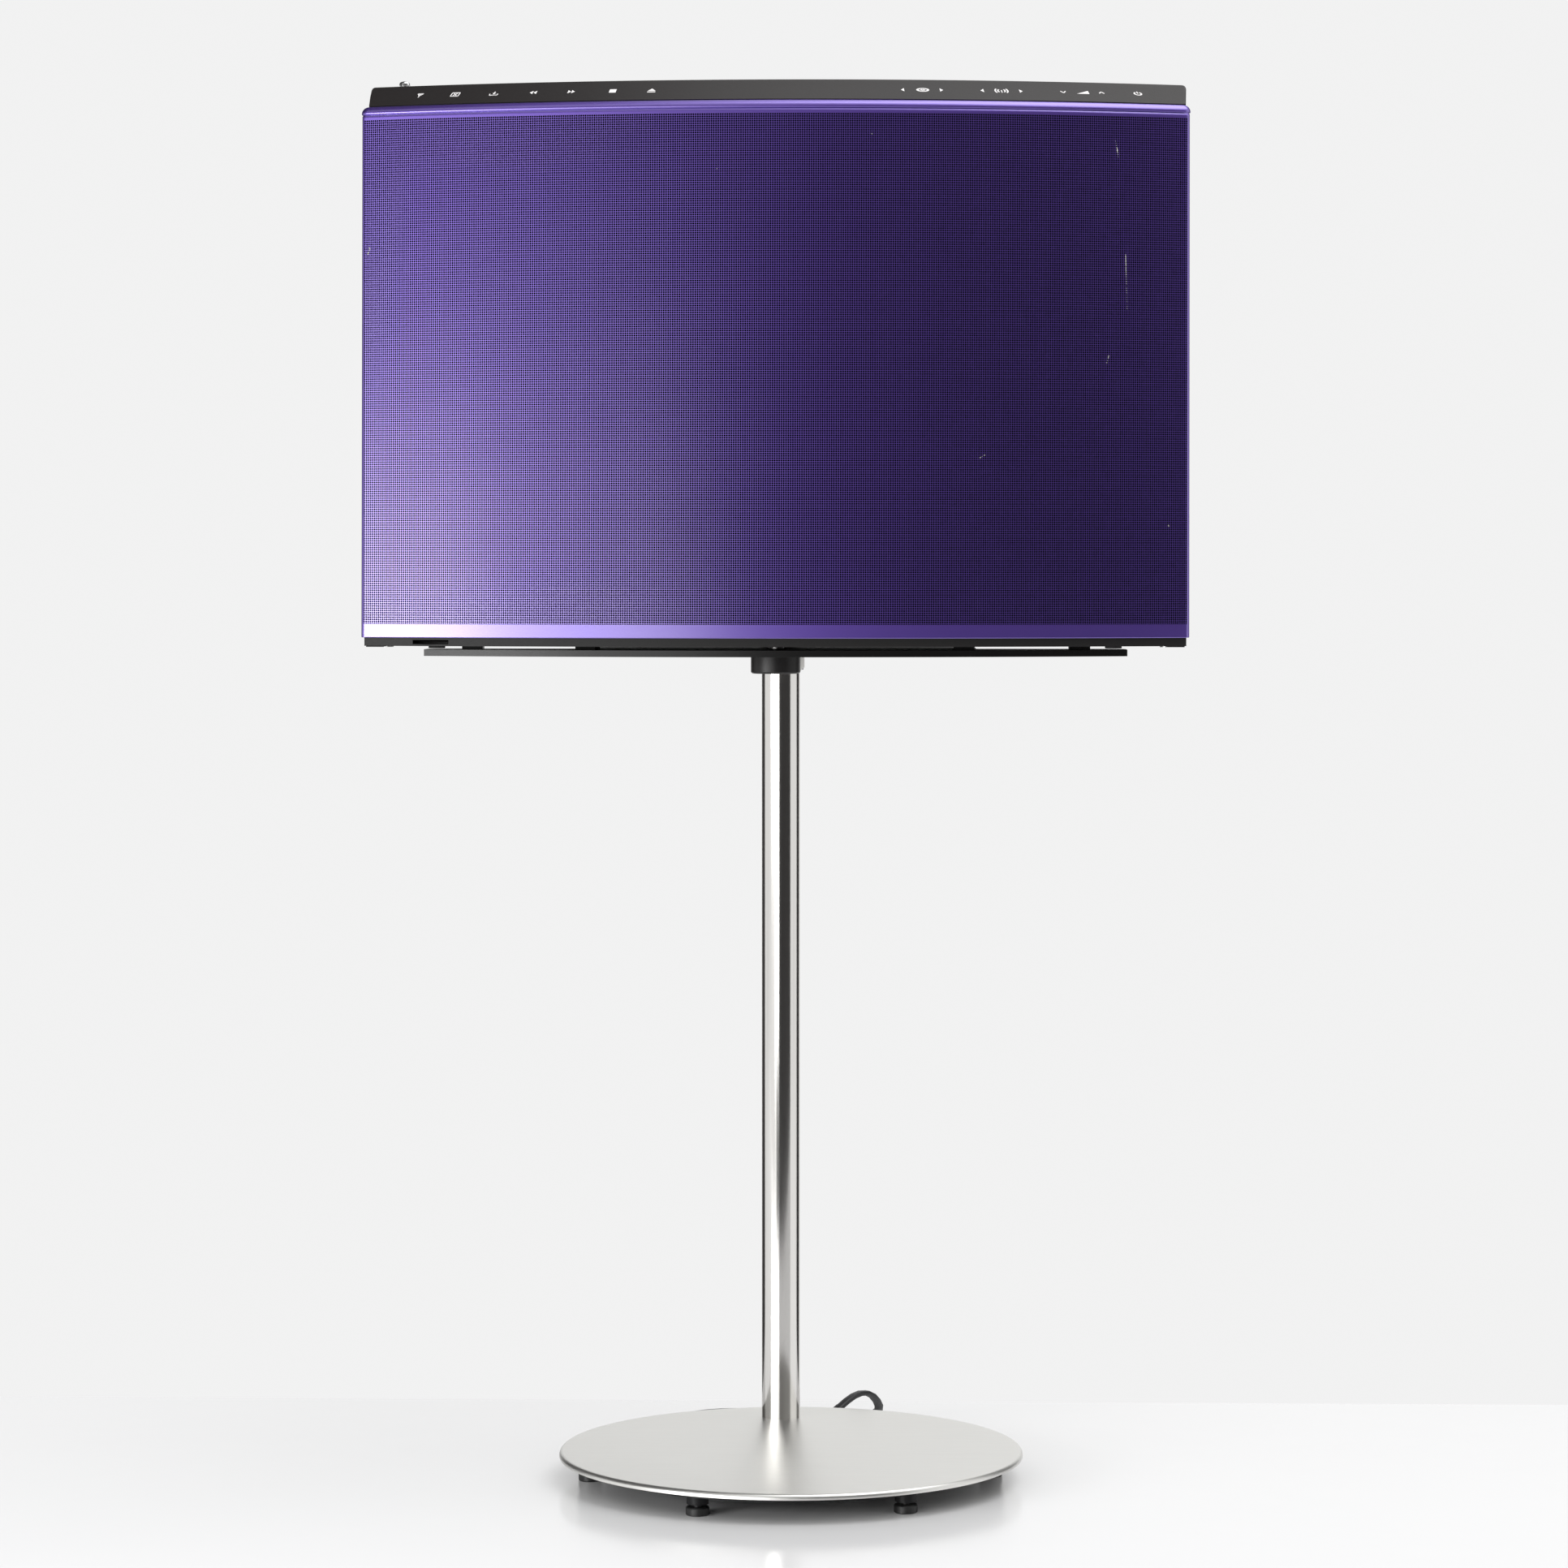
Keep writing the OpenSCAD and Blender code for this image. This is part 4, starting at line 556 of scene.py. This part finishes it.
# Control panel: a charcoal moulding that slopes back from the rolled lip, with rounded ends.
# Its section is carried along the bow, its top is lowered in an arc at each end, and its
# underside comes down to the lip there and closes it.
panel_black = paint("panel_charcoal", grained((0.018, 0.0155, 0.0155), 0.40, size=0.0007, vary=0.05,
                                              depth=0.00001, **{"Specular IOR Level": 0.3}))
half_panel, end_r, panel_top = 222.2, 2.6, 13.1
section = np.array([(4.4, -2.5), (4.4, 0.2), (2.7, 0.2), (2.5, 0.35), (14, 6.65), (24.6, 12.6), (25.2, 12.95),
                    (25.9, panel_top), (27.5, panel_top), (27.5, 10.4), (5.0, -2.5)])
quarter = end_r * (1 - np.cos(np.radians(np.arange(0, 91, 10))))
straight = half_panel - end_r
middle = np.linspace(-straight, straight, 91)[1:-1]
xs = np.concatenate([quarter - half_panel, middle, half_panel - quarter[::-1]])[:, None]
edge = half_panel - abs(xs)
fall = end_r - np.minimum(edge, end_r)
cap = panel_top - end_r + np.sqrt(np.maximum(0, end_r ** 2 - fall ** 2))
inset = section[:, 0]
rise = np.where((edge <= 3) & (np.arange(len(section)) == 9), -2.5, section[:, 1])
px = xs * np.where(rise < 0.1, 0.991, 0.9955 + 0.0003 * inset) + np.where(xs > 218, 1.5, 0.0)
py = top_arc_y - np.sqrt((front_r - inset) ** 2 - px ** 2)
panel = weave("panel_moulding", np.stack([px, py, lip_z + np.minimum(rise, cap)], -1) / 1000, panel_black, "head")
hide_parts("control_panel")

# Panel symbols: thin pale print on the slope, one generic sign for each touch field, with seven on
# the left and ten on the right.
print_white = paint("print_white", grained((0.86, 0.84, 0.84), 0.5, size=0.0005, vary=0.04, depth=0.0))


def stroke(a, b, w=0.5):
    """The four corners of a bar of width w from a to b."""
    a, b = np.array(a, float), np.array(b, float)
    d = (b - a) / np.linalg.norm(b - a)
    n = np.array([-d[1], d[0]]) * w / 2
    return np.array([a + n, b + n, b - n, a - n])


def ring_bars(radius, first, last, steps=10, wide=1.0):
    """Bars along an arc of that radius between two angles in degrees, stretched across by wide."""
    t = np.radians(np.linspace(first, last, steps + 1))
    spots = radius * np.stack([np.cos(t), np.sin(t)], 1)
    return [stroke(a, b) * [wide, 1] for a, b in zip(spots, spots[1:])]


def bars(*spots):
    """Bars from each spot to the next."""
    return [stroke(a, b) for a, b in zip(spots, spots[1:])]


def arrow(x, way, size=1.15):
    """A solid triangle about x that points to the right where way is 1, and left where it is -1."""
    return [(x - way * size * 0.7, -size), (x + way * size * 0.7, 0.0), (x - way * size * 0.7, size)]


frame_w, frame_h = 2.0, 1.25
signs = [
    (-194.1, bars((0, -1.3), (0, 1.3)) + bars((-1.5, 1.3), (0, -0.1)) + bars((1.5, 1.3), (0, -0.1))
     + bars((-1.5, 1.3), (1.5, 1.3))),
    (-174.0, bars((-frame_w, -frame_h), (frame_w, -frame_h), (frame_w, frame_h), (-frame_w, frame_h),
                  (-frame_w, -frame_h)) + bars((-0.9, -0.7), (0.9, 0.7)) + bars((-0.9, 0.7), (0.9, -0.7))),
    (-152.3, bars((-2.0, -0.2), (-2.0, -1.25)) + bars((-2.0, -1.25), (2.0, -1.25)) + bars((2.0, -1.25), (2.0, -0.2))
     + bars((0, 1.3), (0, 0.2)) + [[(-0.9, 0.35), (0, -0.8), (0.9, 0.35)]]),
    (-130.7, [arrow(-0.95, -1), arrow(0.95, -1)]),
    (-109.7, [arrow(-0.95, 1), arrow(0.95, 1)]),
    (-87.1, [[(-1.7, -1.2), (1.7, -1.2), (1.7, 1.2), (-1.7, 1.2)]]),
    (-65.9, [[(-2.0, -0.35), (2.0, -0.35), (0, 1.3)], stroke((-2.0, -1.1), (2.0, -1.1), 0.6)]),
    (69.3, [arrow(0, -1)]),
    (80.2, ring_bars(1.1, 0, 360, 20, 2.4) + ring_bars(0.35, 0, 360, 8, 2.4)),
    (90.3, [arrow(0, 1)]),
    (112.2, [arrow(0, -1)]),
    (122.7, bars((0, -1.3), (0, 0.5)) + ring_bars(1.2, -50, 50, 6, 1.5) + ring_bars(1.2, 130, 230, 6, 1.5)
     + ring_bars(2.1, -40, 40, 6, 1.5) + ring_bars(2.1, 140, 220, 6, 1.5)),
    (133.3, [arrow(0, 1)]),
    (156.2, bars((-1.3, 0.55), (0, -0.65)) + bars((0, -0.65), (1.3, 0.55))),
    (166.6, [[(-3.2, -1.1), (3.2, -1.1), (3.2, 1.1)]]),
    (177.0, bars((-1.3, -0.55), (0, 0.65)) + bars((0, 0.65), (1.3, -0.55))),
    (197.0, ring_bars(1.05, 125, 415, 14, 1.7) + [stroke((0, 0.1), (0, 1.45), 0.6)]),
]
points, faces = [], []
slope = np.array([0.0, 23.0, 12.9]) / math.hypot(23.0, 12.9)
print_inset, print_rise = 2.5 + 23 * 0.48, 0.2 + 12.9 * 0.48
for x, shapes in signs:
    swing = math.asin(x / (front_r - print_inset))
    centre = np.array([x, top_arc_y - (front_r - print_inset) * math.cos(swing), lip_z + print_rise])
    along_x = np.array([math.cos(swing), math.sin(swing), 0.0])
    up_slope = np.array([-math.sin(swing) * slope[1], math.cos(swing) * slope[1], slope[2]])
    out = np.cross(along_x, up_slope)
    for shape in shapes:
        flat = centre + np.array(shape) @ np.stack([along_x * 1.1, up_slope * 1.85])
        b, lap = len(points), len(shape)
        points.extend((np.concatenate([flat - out * 0.05, flat + out * 0.03]) / 1000).tolist())
        part = [tuple(range(b + lap - 1, b - 1, -1)), tuple(range(b + lap, b + 2 * lap))] + [
            (b + i, b + (i + 1) % lap, b + lap + (i + 1) % lap, b + lap + i) for i in range(lap)]
        (ax, ay), (bx, by) = np.diff(np.array(shape, float)[:3], axis=0)
        faces.extend(part if ax * by > ay * bx else [f[::-1] for f in part])
mesh = bpy.data.meshes.new("panel_symbols")
mesh.from_pydata(points, [], faces)
mesh.materials.append(print_white)
symbols = bpy.data.objects.new("panel_symbols", mesh)
bpy.context.scene.collection.objects.link(symbols)
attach(symbols, "head")

# Electronics on the pan: the touch board under the panel and the main board, of green laminate,
# the transformer of varnished iron, and the socket plate at the back, moulded in black.
finish("circuit_board", (0.02, 0.12, 0.06), 0.4, size=0.001)
finish("transformer_iron", (0.25, 0.22, 0.18), 0.5, 0.7, 0.001)
eased("socket_panel", "head", "black_plastic", 0.25)

# Disc drive behind the lid: a moulded tray with the hub and the laser's sled in grey plastic,
# plated motors and nylon gears.
finish("drive_plastic", (0.07, 0.07, 0.073), 0.42)
finish("motor_metal", (0.6, 0.6, 0.6), 0.3, 1.0, 0.0006)
finish("gear_plastic", (0.75, 0.72, 0.62), 0.45, size=0.0006)

# Lid of the disc drive: a smooth dark moulding hinged at its lower edge, with the pale puck that
# clamps a disc on its inside.
finish("lid_plastic", (0.030, 0.030, 0.032), 0.32)
finish("clamp_plastic", (0.6, 0.6, 0.62), 0.4)
eased("cd_lid", "lid", "lid_plastic", 0.5)

# Carry handle: a bent and satin-plated bar that folds down on two pivots in the back.
finish("handle_metal", (0.60, 0.60, 0.61), 0.28, 1.0, 0.0007)
eased("carry_handle", "handle", "handle_metal", 1.2)

# Aerial: chromed brass tubes that slide into one another. The last section is a rod with a
# turned knob on its end, which is seen over the panel.
finish("aerial_chrome", (0.90, 0.90, 0.90), 0.22, 1.0, 0.0005)
chrome = paint("aerial_chromed", grained((0.93, 0.93, 0.93), 0.2, 1.0, size=0.0004, vary=0.02, depth=0.000001))
rod_profile = [(0, 557.7), (2.3, 557.7), (2.3, 767.85), (2.6, 767.9), (3, 768.2), (3, 769.1), (2.75, 769.7),
               (2.2, 770.15), (1.3, 770.42), (0, 770.5)]
rod = turned("aerial_rod", rod_profile, (-0.205, 0.02, 0), chrome, "aerial_end", 40)
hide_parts("aerial_tip")
